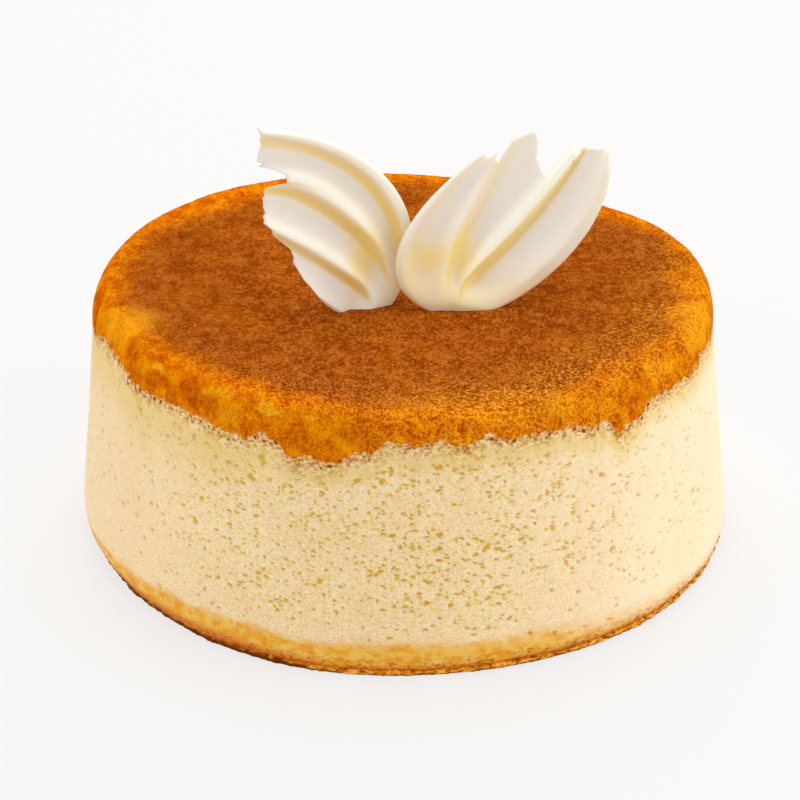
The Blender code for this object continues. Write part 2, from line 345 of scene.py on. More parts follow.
@dataclass(frozen=True)
class Bake:
    """The form of the baked cake: a turned outline, its waves, and the crust's ragged edge."""

    belly_radius: float = 75.3 * MM
    belly_height: float = 6.5 * MM
    foot_radius: float = 72.0 * MM
    shoulder_radius: float = 71.2 * MM
    shoulder_height: float = 49.0 * MM
    top_height: float = 60.1 * MM
    rim_round: float = 5.3 * MM
    rim_squareness: float = 2.3
    centre_dish: float = 0.8 * MM
    crust_edge: float = 53.3 * MM
    crust_hem: float = 1.3 * MM  # how far the crust's piece reaches below its browning
    crust_noise: float = 1.6 * MM
    edge_reach: float = 5.0 * MM  # how far from the edge the outline still follows its raggedness
    frays: tuple = ((0.4, 2.4),)  # the edge's fine fraying: (mm high, mm long)
    foot_wave_height: float = 9.0 * MM
    foot_softness: float = 6.0  # degrees to either side over which the foot's waves are evened
    top_lean: float = -0.4 * MM
    top_waves: tuple = ((1, 0.4 * MM, 167), (2, 1.4 * MM, -79), (3, 0.9 * MM, 180))
    # How far the foot stands out: (degrees from the front, towards +X; mm)
    foot: tuple = (
        (-180, 0.0), (-120, -0.6), (-90, -1.6), (-75, -1.4), (-60, -1.6), (-45, -0.7),
        (-30, 0.9), (-15, 2.0), (0, 1.5), (15, 1.1), (30, 1.2), (45, 1.2), (60, 0.7),
        (75, 0.4), (90, 0.8), (120, 0.8), (180, 0.0),
    )
    # The ragged edge: (degrees from the front, towards +X; mm above or below its usual height)
    edge: tuple = (
        (-95, 0.3), (-78, -0.2), (-70, 2.7), (-62, 2.3), (-56, -0.2), (-49, -0.5), (-44, 0.2),
        (-38, -0.2), (-31, -1.8), (-28, -1.6), (-25, 0.0), (-22.5, -0.4), (-19.5, -3.6),
        (-16, -2.9), (-12.5, -3.8), (-9.5, -1.6), (-6, -0.4), (-2, 2.0), (3, 1.5), (6.5, 2.7),
        (11, 1.3), (15, 2.9), (19, 1.8), (22, 2.1), (31, 1.4), (34, -0.4), (37.5, -0.2),
        (41, -4.5), (43, -3.1), (46, -3.0), (49, -0.4), (54, -0.7), (60, -1.0), (64, -2.2),
        (69, -0.3), (77, -1.5), (95, 0.2),
    )
    # The top of the base's browned skin: (degrees from the front, towards +X; mm above the table)
    gold: tuple = (
        (-180, 5.0), (-110, 5.2), (-82, 7.6), (-60, 8.8), (-48, 8.8), (-35, 8.8), (-27, 8.9),
        (-18, 8.0), (-10, 8.2), (-3, 8.2), (8, 8.2), (16, 8.0), (24, 8.3), (34, 6.4),
        (50, 4.8), (70, 4.2), (100, 4.4), (180, 5.0),
    )

    def outer_radius(self, height: np.ndarray) -> np.ndarray:
        """The outline: tucked in under the belly, a sloping side, and a rounded rim.

        Args:
            height: heights above the table, in metres.

        Returns:
            The radius at each height, in metres.
        """
        height = np.asarray(height, float)
        fall = 1.0 - np.clip(height / self.belly_height, 0.0, 1.0)
        tuck = self.belly_radius - self.foot_radius
        low = self.belly_radius - tuck * (1.0 - np.sqrt(1.0 - fall * fall))
        rise = (height - self.belly_height) / (self.shoulder_height - self.belly_height)
        side = self.belly_radius + (self.shoulder_radius - self.belly_radius) * rise
        rim_height = self.top_height - self.shoulder_height
        over = np.clip((height - self.shoulder_height) / rim_height, 0.0, 1.0)
        power = self.rim_squareness
        rim = self.shoulder_radius - self.rim_round * (1.0 - (1.0 - over**power) ** (1.0 / power))
        above_belly = np.where(height <= self.shoulder_height, side, rim)
        return np.where(height <= self.belly_height, low, above_belly)

    @property
    def flat_radius(self) -> float:
        """Radius of the flat of the top, inside the rounded rim."""
        return self.shoulder_radius - self.rim_round

    def near_edge(self, height: np.ndarray) -> np.ndarray:
        """How near each height is to the crust's edge, from 0 to 1."""
        return np.exp(-(((height - self.crust_edge) / self.edge_reach) ** 2))

    def rim_point(self, turn: float) -> tuple[float, float]:
        """A point on the rounded rim.

        Args:
            turn: degrees, from 0 at the shoulder to 90 on top.

        Returns:
            Its radius and height, in metres.
        """
        rise = math.sin(math.radians(turn)) ** (2.0 / self.rim_squareness)
        height = self.shoulder_height + (self.top_height - self.shoulder_height) * rise
        return float(self.outer_radius(height)), height

    def crust_rise(self, degrees: np.ndarray) -> np.ndarray:
        """The ragged line of the crust's edge.

        Args:
            degrees: directions from the front, towards +X.

        Returns:
            How far the edge is above its usual height in each direction, in metres.
        """
        table = np.arange(-180.0, 180.25, 0.25)
        circle = 5.0  # the noise is read round a circle of this radius, so that it closes
        heights = []
        for turn in table:
            angle = math.radians(turn)
            place = Vector((circle * math.cos(angle), circle * math.sin(angle), 0.0))
            behind = float(smooth_step(70.0, 95.0, abs(turn)))
            rise = self.crust_noise * noise.noise(place) * behind
            for high, long in self.frays:
                finer = self.shoulder_radius / (circle * MM * long)
                rise += high * MM * noise.noise(place * finer)
            for (left, here), (right, there) in zip(self.edge, self.edge[1:]):
                if left <= turn < right:
                    rise += MM * (here + (there - here) * float(smooth_step(left, right, turn)))
            heights.append(rise)
        return np.interp(degrees, table, heights)

    def waves(self, table: tuple, degrees: np.ndarray) -> np.ndarray:
        """The sum of the waves in a table.

        Args:
            table: (count round the cake, height in metres, phase in degrees) of each wave.
            degrees: directions from the front, towards +X.

        Returns:
            The sum in each direction, in metres.
        """
        return sum(
            size * np.sin(np.radians(count * degrees + phase)) for count, size, phase in table
        )

    def from_front(self, points: np.ndarray) -> np.ndarray:
        """Degrees round from the front, towards +X, of each point."""
        turn = np.degrees(np.arctan2(points[:, 1], points[:, 0]) - FRONT)
        return (turn + 180.0) % 360.0 - 180.0

    def made_uneven(self, points: np.ndarray) -> np.ndarray:
        """Moves points of the turned shape to where the uneven bake has them.

        Args:
            points: rows of x, y and z, in metres.

        Returns:
            The moved points, in the same order.
        """
        radius, height = np.hypot(points[:, 0], points[:, 1]), points[:, 2]
        angle = np.arctan2(points[:, 1], points[:, 0])
        degrees = self.from_front(points)
        outside = smooth_step(0.9 * self.shoulder_radius, 0.98 * self.shoulder_radius, radius)
        rise = self.crust_rise(degrees) * self.near_edge(height) * outside
        widened = radius + (self.outer_radius(height + rise) - self.outer_radius(height)) * outside
        lowness = np.maximum(0.0, 1.0 - height / self.foot_wave_height)
        in_foot = lowness * (radius / self.foot_radius)
        turns = (degrees - self.foot_softness, degrees, degrees + self.foot_softness)
        stands_out = sum(np.interp(turn, *zip(*self.foot)) for turn in turns) / len(turns)
        widened = widened + stands_out * MM * in_foot
        share = height / self.top_height
        outward = (widened / self.shoulder_radius) ** 2
        rise = rise + self.waves(self.top_waves, degrees) * share**2 * outward
        across = widened * np.cos(angle) + self.top_lean * share
        return np.stack((across, widened * np.sin(angle), height + rise), axis=1)


# Mesh helpers


def points_of(mesh: bpy.types.Mesh) -> np.ndarray:
    """Reads where a mesh's points are.

    Args:
        mesh: the mesh.

    Returns:
        A row of x, y and z for each point, in metres.
    """
    flat = np.empty(3 * len(mesh.vertices))
    mesh.vertices.foreach_get("co", flat)
    return flat.reshape(-1, 3)


def place_points(mesh: bpy.types.Mesh, points: np.ndarray) -> None:
    """Moves the mesh's points."""
    mesh.vertices.foreach_set("co", points.ravel())
    mesh.update()


def note(mesh: bpy.types.Mesh, name: str, values: np.ndarray) -> None:
    """Writes a number, or a vector, on every point of a mesh.

    Args:
        mesh: the mesh.
        name: the attribute's name.
        values: a number, or a row of three, for each point.
    """
    kind, key = ("FLOAT_VECTOR", "vector") if values.ndim == 2 else ("FLOAT", "value")
    layer = mesh.attributes.new(name, kind, "POINT")
    layer.data.foreach_set(key, values.ravel().astype(np.float32))


def start_piece(name: str) -> bpy.types.Object:
    """Names the object that was just added, and its mesh.

    Args:
        name: the piece's name.

    Returns:
        The object.
    """
    piece = bpy.context.object
    piece.name = name
    piece.data.name = name
    return piece


def turned(name: str, profile: Sequence[tuple[float, float]], steps: int) -> bpy.types.Object:
    """A closed piece: a profile spun all the way round Z.

    Args:
        name: the piece's name.
        profile: (radius, height) from the middle of the top to the middle below.
        steps: columns in the full turn.

    Returns:
        The new object.
    """
    bpy.ops.object.select_all(action="DESELECT")
    mesh = bpy.data.meshes.new(name)
    edges = [(i, i + 1) for i in range(len(profile) - 1)]
    mesh.from_pydata([(radius, 0.0, height) for radius, height in profile], edges, [])
    piece = bpy.data.objects.new(name, mesh)
    bpy.context.scene.collection.objects.link(piece)
    bpy.context.view_layer.objects.active = piece
    piece.select_set(True)
    turn = piece.modifiers.new("turn", "SCREW")
    turn.steps = steps
    turn.render_steps = steps
    apply_modifiers(piece)
    bpy.ops.object.mode_set(mode="EDIT")
    bpy.ops.mesh.select_all(action="SELECT")
    bpy.ops.mesh.remove_doubles(threshold=0.01 * MM)
    bpy.ops.mesh.normals_make_consistent(inside=False)
    bpy.ops.object.mode_set(mode="OBJECT")
    return piece


def resampled(profile: Sequence[tuple[float, float]], spacing: float) -> list[tuple[float, float]]:
    """Spreads the points of a profile evenly.

    Args:
        profile: its points as (radius, height), in metres.
        spacing: about how far apart the new ones lie, in metres.

    Returns:
        The new points, from the same start to the same end.
    """
    points = np.array(profile)
    run = np.concatenate(([0.0], np.cumsum(np.hypot(*np.diff(points, axis=0).T))))
    marks = np.linspace(0.0, run[-1], max(2, round(run[-1] / spacing) + 1))
    return list(zip(np.interp(marks, run, points[:, 0]), np.interp(marks, run, points[:, 1])))


def apply_relief(piece: bpy.types.Object, height: Callable[[Graph], Signal]) -> None:
    """Moves a piece's points along their normals, with geometry nodes.

    Args:
        piece: the piece.
        height: writes the relief in a graph and gives its height, in metres.
    """
    tree = bpy.data.node_groups.new(piece.name + "_relief", "GeometryNodeTree")
    tree.interface.new_socket("Geometry", in_out="INPUT", socket_type="NodeSocketGeometry")
    tree.interface.new_socket("Geometry", in_out="OUTPUT", socket_type="NodeSocketGeometry")
    graph = Graph(tree)
    start = graph.add("NodeGroupInput")
    normal = graph.add("GeometryNodeInputNormal")
    inputs = {0: normal, "Scale": height(graph)}
    scaled = graph.add("ShaderNodeVectorMath", {"operation": "SCALE"}, inputs)
    moved = graph.add("GeometryNodeSetPosition", inputs={"Geometry": start, "Offset": scaled})
    end = tree.nodes.new("NodeGroupOutput")
    tree.links.new(moved.socket, end.inputs[0])
    modifier = piece.modifiers.new("relief", "NODES")
    modifier.node_group = tree
    apply_modifiers(piece)
    bpy.data.node_groups.remove(tree)


def apply_modifiers(piece: bpy.types.Object) -> None:
    """Applies all of a piece's modifiers, in order.

    Args:
        piece: the piece.
    """
    bpy.ops.object.select_all(action="DESELECT")
    bpy.context.view_layer.objects.active = piece
    piece.select_set(True)
    for modifier in list(piece.modifiers):
        bpy.ops.object.modifier_apply(modifier=modifier.name)


def hand_over(piece: bpy.types.Object, finish: Finish, slot: str, *nodes: str) -> None:
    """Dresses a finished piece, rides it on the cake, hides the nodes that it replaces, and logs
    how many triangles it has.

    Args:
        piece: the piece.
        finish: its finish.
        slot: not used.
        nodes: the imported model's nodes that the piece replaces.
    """
    piece.data.materials.clear()
    piece.data.materials.append(finish.material)
    piece.data.shade_smooth()
    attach(piece, BODY)
    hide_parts(*nodes)
    piece.data.calc_loop_triangles()
    logger.info("%s: %d triangles", piece.name, len(piece.data.loop_triangles))


# The crumb


@dataclass(frozen=True)
class PoreLayer:
    """Pores of one size: scattered cells, of which a share opens as pores."""

    cell: float  # mm between the middles
    share: float  # of the cells that open, where the crumb is at its most open
    radius: float  # of the largest, as a share of the cell
    depth: float  # of the largest, mm
    squash: float = 2.0  # how much wider than high


PORES = (
    PoreLayer(cell=2.5, share=0.32, radius=0.42, depth=0.7),
    PoreLayer(cell=1.5, share=0.9, radius=0.51, depth=0.5),
    PoreLayer(cell=1.0, share=1.1, radius=0.56, depth=0.25),
)


def swell(graph: Graph, place: Signal) -> Signal:
    """The soft unevenness of the cake's side, under crumb and crust alike, in metres."""
    slow = graph.cloud(graph.stretch(place, (1.0, 1.0, 0.5)), 18.0, 2.0) - 0.5
    return slow * (0.9 * MM)


def browned_share(graph: Graph, place: Signal, above: Signal) -> Signal:
    """Where the browning ends, from 0 to 1: it frays out about the crust's edge, mm above it."""
    ragged = (graph.cloud(place, 2.2, 4.0, 0.7) - 0.5) * 5.0
    return (above + ragged + 0.4).ramp(-0.3, 0.3)


def foam_colour(graph: Graph, place: Signal, above: Signal) -> Signal:
    """Pinkish strands on a yellowish ground with small brown holes, at the crust's edge.

    Args:
        graph: the finish's graph.
        place: where, in metres.
        above: how far above the crust's edge that is, mm.

    Returns:
        The colour.
    """
    patches = graph.cloud(place, 3.0, 2.0).ramp(0.4, 0.6)
    ground = graph.mix(patches, linear(232, 196, 104), linear(244, 214, 150))
    ground = graph.mix(above.ramp(-3.4, -0.4) * 0.6, ground, linear(216, 156, 84))
    wavy = graph.stretch(graph.warp(place, 2.0, 0.8), (1.0, 1.0, 1.4))
    strands = graph.cloud(wavy, 0.9, 2.0, 0.6)
    ground = graph.mix(strands.ramp(0.53, 0.62) * 0.7, ground, linear(255, 228, 190))
    holes = strands.ramp(0.48, 0.39) * above.ramp(-6.0, -0.5)
    ground = graph.mix(holes * 0.8, ground, linear(178, 96, 10))
    far, chance = graph.cells(graph.warp(place, 1.5, 0.4), 1.5)
    bubbles = far.ramp(0.40, 0.26) * chance.ramp(0.62, 0.57) * above.ramp(-3.4, -1.0)
    return graph.mix(bubbles * 0.9, ground, linear(140, 56, 0))


class CrumbPattern:
    """Where the crumb's pores lie, for its relief and its colours alike."""

    def __init__(self, graph: Graph) -> None:
        """Reads where each point of the crumb is.

        Args:
            graph: the graph of a finish or of a relief.
        """
        self.graph = graph
        self.place = graph.attribute("place", vector=True)
        self.drop = graph.attribute("drop")
        self.height = graph.part(self.place, 2)
        self.across = graph.part(self.place, 0)

    def openness(self) -> Signal:
        """How open the crumb is: most in the middle of its height and of its front.

        Returns:
            A signal from 0 to 1.
        """
        squashed = self.graph.stretch(self.place, (1.0, 1.0, 1.5))
        patches = self.graph.cloud(squashed, 8.0, 2.0).ramp(0.36, 0.6)
        low = self.height.ramp(8.0 * MM, 17.0 * MM)
        high = self.drop.ramp(0.5, 3.0)
        sides = self.across.ramp(0.062, 0.016) * self.across.ramp(-0.066, -0.018)
        return (0.3 + 0.7 * patches) * (0.12 + 0.88 * low) * high * (0.2 + 0.8 * sides)

    def pores(self) -> tuple[Signal, Signal, Signal]:
        """The pores.

        Returns:
            How far into a pore each place is, from 0 to 1, its depth in metres, and how much it
            lies on a pore's lit rim, from 0 to 1.
        """
        openness = self.openness()
        inside, depth, rim = None, None, None
        for layer in PORES:
            warped = self.graph.warp(self.place, 0.7 * layer.cell, 0.36 * layer.cell)
            stretched = self.graph.stretch(warped, (1.0, 1.0, layer.squash))
            far, chance = self.graph.cells(stretched, layer.cell)
            size = (1.0 - chance / (layer.share * openness + 0.001)).larger(0.0) ** 0.4
            radius = layer.radius * size
            opened = far.ramp(radius + 0.01, radius * 0.72) * size.ramp(0.05, 0.3)
            sunk = opened * size * (layer.depth * MM)
            around = far.ramp(radius + 0.3, radius + 0.04) * size.ramp(0.05, 0.3)
            inside = opened if inside is None else inside.larger(opened)
            depth = sunk if depth is None else depth.larger(sunk)
            rim = around if rim is None else rim.larger(around)
        return inside, depth, rim

    def lumps(self) -> Signal:
        """The small unevenness between the pores, in metres."""
        return (self.graph.cloud(self.place, 3.0, 2.0) - 0.5) * (0.22 * MM)


@dataclass
class Crumb:
    """The pale, porous body of the cake, which shows all round its side."""

    bake: Bake
    step: float = 0.1 * MM  # how far it stands back from the crust at its edge
    behind: float = 6.0 * MM  # how far it goes up behind the crust
    bottom: float = 0.4 * MM  # how far it stays above the table, over the base
    spacing: float = 0.5 * MM
    steps: int = 760

    def profile(self) -> list[tuple[float, float]]:
        """The outline that is turned, tucked in behind the crust and over the base.

        Returns:
            (radius, height) from the middle of the hidden top to the middle below, in metres.
        """
        bake = self.bake
        top = bake.crust_edge + self.behind
        heights = np.linspace(top, self.bottom, round((top - self.bottom) / self.spacing))
        recess = self.step * smooth_step(46.5 * MM, 51.0 * MM, heights)
        recess = recess + 1.6 * MM * smooth_step(bake.crust_edge - bake.crust_hem, top, heights)
        recess = recess + 0.35 * MM * smooth_step(3.2 * MM, 1.5 * MM, heights)
        side = list(zip(bake.outer_radius(heights) - recess, heights))
        hidden_top = top - 3.0 * MM
        return [(0.0, hidden_top), (0.6 * bake.foot_radius, hidden_top)] + side + [
            (0.5 * bake.foot_radius, self.bottom),
            (0.0, self.bottom),
        ]

    def build(self) -> bpy.types.Object:
        """Turns the body, makes it uneven and opens its pores.

        Returns:
            The piece.
        """
        piece = turned("cake_crumb", self.profile(), self.steps)
        flat = points_of(piece.data)
        points = self.bake.made_uneven(flat)
        place_points(piece.data, points)
        degrees, height = self.bake.from_front(flat), flat[:, 2]
        rise = self.bake.crust_rise(degrees)
        lift = points[:, 2] - height
        edge = self.bake.crust_edge + rise + lift - rise * self.bake.near_edge(height)
        gold = np.interp(degrees, *zip(*self.bake.gold))
        note(piece.data, "place", points)
        note(piece.data, "drop", (edge - points[:, 2]) / MM)
        note(piece.data, "gold", points[:, 2] / MM - gold)
        apply_relief(piece, self.relief)
        return piece

    def relief(self, graph: Graph) -> Signal:
        """The crumb's pores and unevenness.

        Args:
            graph: the relief's graph.

        Returns:
            How far out each point moves, in metres.
        """
        pattern = CrumbPattern(graph)
        depth = pattern.pores()[1]
        return swell(graph, pattern.place) + pattern.lumps() - depth

    def finish(self) -> Finish:
        """Pale cream with ochre pores, foam under the crust and gold towards the base, with painted
        highlight and shade in its grain and pores, and painted sheen towards its left and right.

        Returns:
            The finish.
        """
        finish = Finish("cheesecake_crumb_finish", Looks.CREAMY)
        graph = finish.graph
        pattern = CrumbPattern(graph)
        inside, depth, rim = pattern.pores()
        place, above = pattern.place, 0.0 - pattern.drop
        tone = graph.cloud(place, 12.0, 3.0).ramp(0.3, 0.7)
        cream = graph.mix(tone, linear(251, 215, 157), linear(255, 225, 172))
        # Painted sheen: the crumb is paler towards its left and right, where the side turns away
        # and catches pale light at a grazing angle.
        right, left = pattern.across.ramp(0.01, 0.06), pattern.across.ramp(-0.035, -0.072)
        cream = graph.mix(right * 0.7, cream, linear(255, 238, 206))
        cream = graph.mix(left * 0.6, cream, linear(252, 226, 182))
        busy = 1.0 - 0.6 * right.larger(left)
        # Pale and dark specks: partly the crumb's fine porosity, partly painted highlight and shade
        # of its grain.
        speckle = graph.cloud(graph.stretch(place, (1.0, 1.0, 1.8)), 0.7, 2.0, 0.6)
        fine = graph.cloud(place, 0.42, 2.0, 0.6)
        cream = graph.mix(speckle.ramp(0.5, 0.6) * 0.6 * busy, cream, linear(255, 236, 206))
        cream = graph.mix(speckle.ramp(0.48, 0.38) * 0.5 * busy, cream, linear(232, 194, 124))
        cream = graph.mix(fine.ramp(0.48, 0.38) * 0.35 * busy, cream, linear(214, 172, 112))
        # Painted highlight: a pale ring round each pore.
        cream = graph.mix(rim * 0.6 * busy, cream, linear(255, 236, 202))
        # Ochre in the pores: partly their own colour, partly painted shade, darker in the deeper
        # ones.
        deep = depth.ramp(0.06 * MM, 0.5 * MM)
        ochre = graph.mix(deep, linear(252, 220, 130), linear(234, 182, 40))
        colour = graph.mix(inside * (0.45 + 0.5 * busy), cream, ochre)
        wander = (graph.cloud(place, 5.0, 3.0) - 0.5) * 6.0
        reach = -9.0 - 8.0 * pattern.across.ramp(-0.02, -0.045)
        colour = graph.mix((above + wander).ramp(reach, -3.5) * 0.55, colour, linear(232, 196, 100))
        foamy = (above + wander * 0.8).ramp(-5.4, -2.6)
        colour = graph.mix(foamy, colour, foam_colour(graph, place, above))
        colour = graph.mix(browned_share(graph, place, above), colour, linear(196, 88, 0))
        colour = self.with_gold(graph, colour, pattern)
        finish.paint("Base Color", colour)
        grain = graph.cloud(place, 0.7, 3.0, 0.65) - 0.5
        finish.emboss(grain * (0.12 * MM) - depth * 0.2, 0.8)
        return finish

    def with_gold(self, graph: Graph, colour: Signal, pattern: CrumbPattern) -> Signal:
        """Adds the browned skin of the base, which rises a few millimetres up the side.

        Args:
            graph: the finish's graph.
            colour: the colour so far.
            pattern: the crumb's pattern in that graph.

        Returns:
            The colour with the skin.
        """
        place, height, across = pattern.place, pattern.height, pattern.across
        streaked = graph.stretch(place, (1.0, 1.0, 1.8))
        soft = across.ramp(0.012, 0.05)
        wander = (graph.cloud(streaked, 6.0, 4.0, 0.6) - 0.5) * 4.0
        level = graph.attribute("gold") + wander
        patches = graph.cloud(streaked, 3.2, 3.0, 0.6)
        yellow = graph.mix(patches.ramp(0.38, 0.62), linear(244, 194, 84), linear(236, 158, 4))
        spread = level.ramp(0.9 + 2.0 * soft, -1.9 - 2.4 * soft)
        colour = graph.mix(spread * 0.97, colour, yellow)
        left = across.ramp(-0.01, -0.045)
        browner = (height + patches * (3.0 * MM) - left * (1.6 * MM)).ramp(5.3 * MM, 2.9 * MM)
        brown = graph.mix(left * 0.6, linear(214, 112, 0), linear(222, 122, 4))
        colour = graph.mix(browner * 0.95, colour, brown)
        specks = graph.cloud(streaked, 1.3, 3.0, 0.65).ramp(0.52, 0.4)
        specks = specks * height.ramp(5.6 * MM, 2.6 * MM)
        return graph.mix(specks * 0.75, colour, linear(150, 70, 0))


# The crust


@dataclass(frozen=True)
class RimPatch:
    """A patch of the crust's rim that is painted lighter or darker than the rest."""

    degrees: float  # from the front, towards +X
    radius: float  # from the axis, mm
    height: float  # above the table, mm
    wide: float  # half its width, mm
    high: float  # half its height, mm
    share: float  # how strongly it shows

    def spread(self, graph: Graph, place: Signal) -> Signal:
        """How strongly the patch shows.

        Args:
            graph: the finish's graph.
            place: where, in metres.

        Returns:
            A signal from 0 to the patch's share.
        """
        turn = math.radians(self.degrees)
        across, along = self.radius * math.sin(turn), -self.radius * math.cos(turn)
        middle = Vector((across, along, self.height)) * MM
        scale = (1.0 / (self.wide * MM),) * 2 + (1.0 / (self.high * MM),)
        offset = graph.stretch(graph.shift(place, -middle), scale)
        far = graph.add("ShaderNodeVectorMath", {"operation": "LENGTH"}, {0: offset}, out="Value")
        return far.ramp(1.25, 0.55) * self.share


PALE_RIM_PATCHES = (
    RimPatch(-68, 67.0, 59.5, 9.0, 4.0, 0.6),
    RimPatch(-49, 68.8, 58.6, 2.2, 0.9, 0.9),
    RimPatch(-35, 68.6, 58.9, 4.5, 0.9, 0.6),
    RimPatch(-32, 70.8, 55.4, 4.0, 2.0, 0.45),
    RimPatch(-24, 69.0, 58.3, 4.2, 1.0, 1.0),
    RimPatch(-16, 69.2, 58.0, 1.5, 0.9, 0.9),
    RimPatch(4, 64.5, 60.1, 8.0, 1.5, 0.4),
    RimPatch(23, 68.4, 59.4, 1.4, 0.7, 0.8),
    RimPatch(29, 70.2, 57.2, 6.0, 2.4, 0.45),
    RimPatch(53, 69.5, 57.5, 5.0, 2.0, 0.5),
    RimPatch(72, 68.5, 58.0, 11.0, 4.0, 0.8),
)
DARK_RIM_PATCHES = (
    RimPatch(-50, 70.3, 56.3, 3.0, 2.0, 0.6),
    RimPatch(-39, 70.0, 57.0, 5.0, 1.8, 0.75),
    RimPatch(-18, 71.0, 52.8, 5.0, 2.6, 0.8),
    RimPatch(-7, 70.8, 55.4, 7.0, 2.2, 0.6),
    RimPatch(-6, 69.2, 58.4, 6.0, 1.9, 0.85),
    RimPatch(5, 69.2, 58.6, 3.5, 1.2, 0.8),
    RimPatch(13, 69.4, 58.2, 1.8, 1.0, 0.6),
    RimPatch(37, 68.6, 59.2, 4.0, 1.0, 0.9),
    RimPatch(47, 65.0, 60.1, 6.0, 2.0, 0.5),
)


def rim_patch_share(graph: Graph, place: Signal, patches: Sequence[RimPatch]) -> Signal:
    """How strongly any of the patches shows, with ragged edges.

    Args:
        graph: the finish's graph.
        place: where, in metres.
        patches: the patches.

    Returns:
        A signal from 0 to 1.
    """
    ragged = graph.warp(graph.warp(place, 4.0, 1.8), 1.0, 0.6)
    total = patches[0].spread(graph, ragged)
    for patch in patches[1:]:
        total = total.larger(patch.spread(graph, ragged))
    return total


class CrustPattern:
    """Grain, pits and browning of the crust, for its relief and its colours alike."""

    def __init__(self, graph: Graph) -> None:
        """Reads where each point of the crust is.

        Args:
            graph: the graph of a finish or of a relief.
        """
        self.graph = graph
        self.place = graph.attribute("place", vector=True)
        self.radius = graph.attribute("radius")
        self.above = graph.attribute("above")
        self.across = graph.part(self.place, 0)
        self.along = graph.part(self.place, 1)

    def crumbly(self) -> Signal:
        """Where the crust breaks into crumbs: round the right of the front rim.

        Returns:
            A signal from 0 to 1.
        """
        right = (self.across - self.along * 0.8).ramp(0.02, 0.085)
        patches = self.graph.cloud(self.place, 9.0).ramp(0.35, 0.6)
        return right * self.radius.ramp(42.0, 62.0) * (0.45 + 0.55 * patches)

    def pits(self) -> Signal:
        """Small pits scattered over the crust, from 0 to 1."""
        far, chance = self.graph.cells(self.graph.warp(self.place, 1.5, 0.4), 2.3)
        return far.ramp(0.28, 0.12) * chance.ramp(0.3, 0.22) * self.radius.ramp(66.0, 63.0)

    def grain(self) -> Signal:
        """The crust's granular surface.

        Returns:
            A signal from 0 to 1.
        """
        fine = self.graph.cloud(self.place, 1.3, 3.0, 0.62)
        coarse = self.graph.cloud(self.place, 3.4, 2.0)
        return 0.62 * fine + 0.38 * coarse

    def relief(self) -> Signal:
        """The crust's swellings, grain and pits.

        Returns:
            How far out each point moves, in metres.
        """
        slow = self.graph.cloud(self.place, 14.0, 2.0) - 0.5
        inner = self.radius.ramp(70.0, 60.0)
        rough = (0.5 * MM + self.crumbly() * (0.7 * MM)) * self.above.ramp(-0.2, 1.5)
        base = swell(self.graph, self.place) + slow * inner * (0.7 * MM)
        base = base + self.mound() * (0.95 * MM)
        return base + (self.grain() - 0.5) * rough - self.pits() * (0.25 * MM)

    def mound(self) -> Signal:
        """Where the wings pushed the crust up round their feet.

        Returns:
            A signal from 0 to 1.
        """
        off_x = (self.across - 2.0 * MM) / (30.0 * MM)
        off_y = (self.along + 16.0 * MM) / (14.0 * MM)
        return (off_x * off_x + off_y * off_y).ramp(1.0, 0.2)

    def behind(self) -> Signal:
        """The back of the top, from 0 to 1."""
        return self.along.ramp(0.02, 0.05)

    def grainy(self) -> Signal:
        """How strongly the grain shows, from 0 to 1: the left of the rim is smooth."""
        return 1.0 - self.across.ramp(0.012, -0.02) * self.radius.ramp(65.5, 69.0) * 0.35


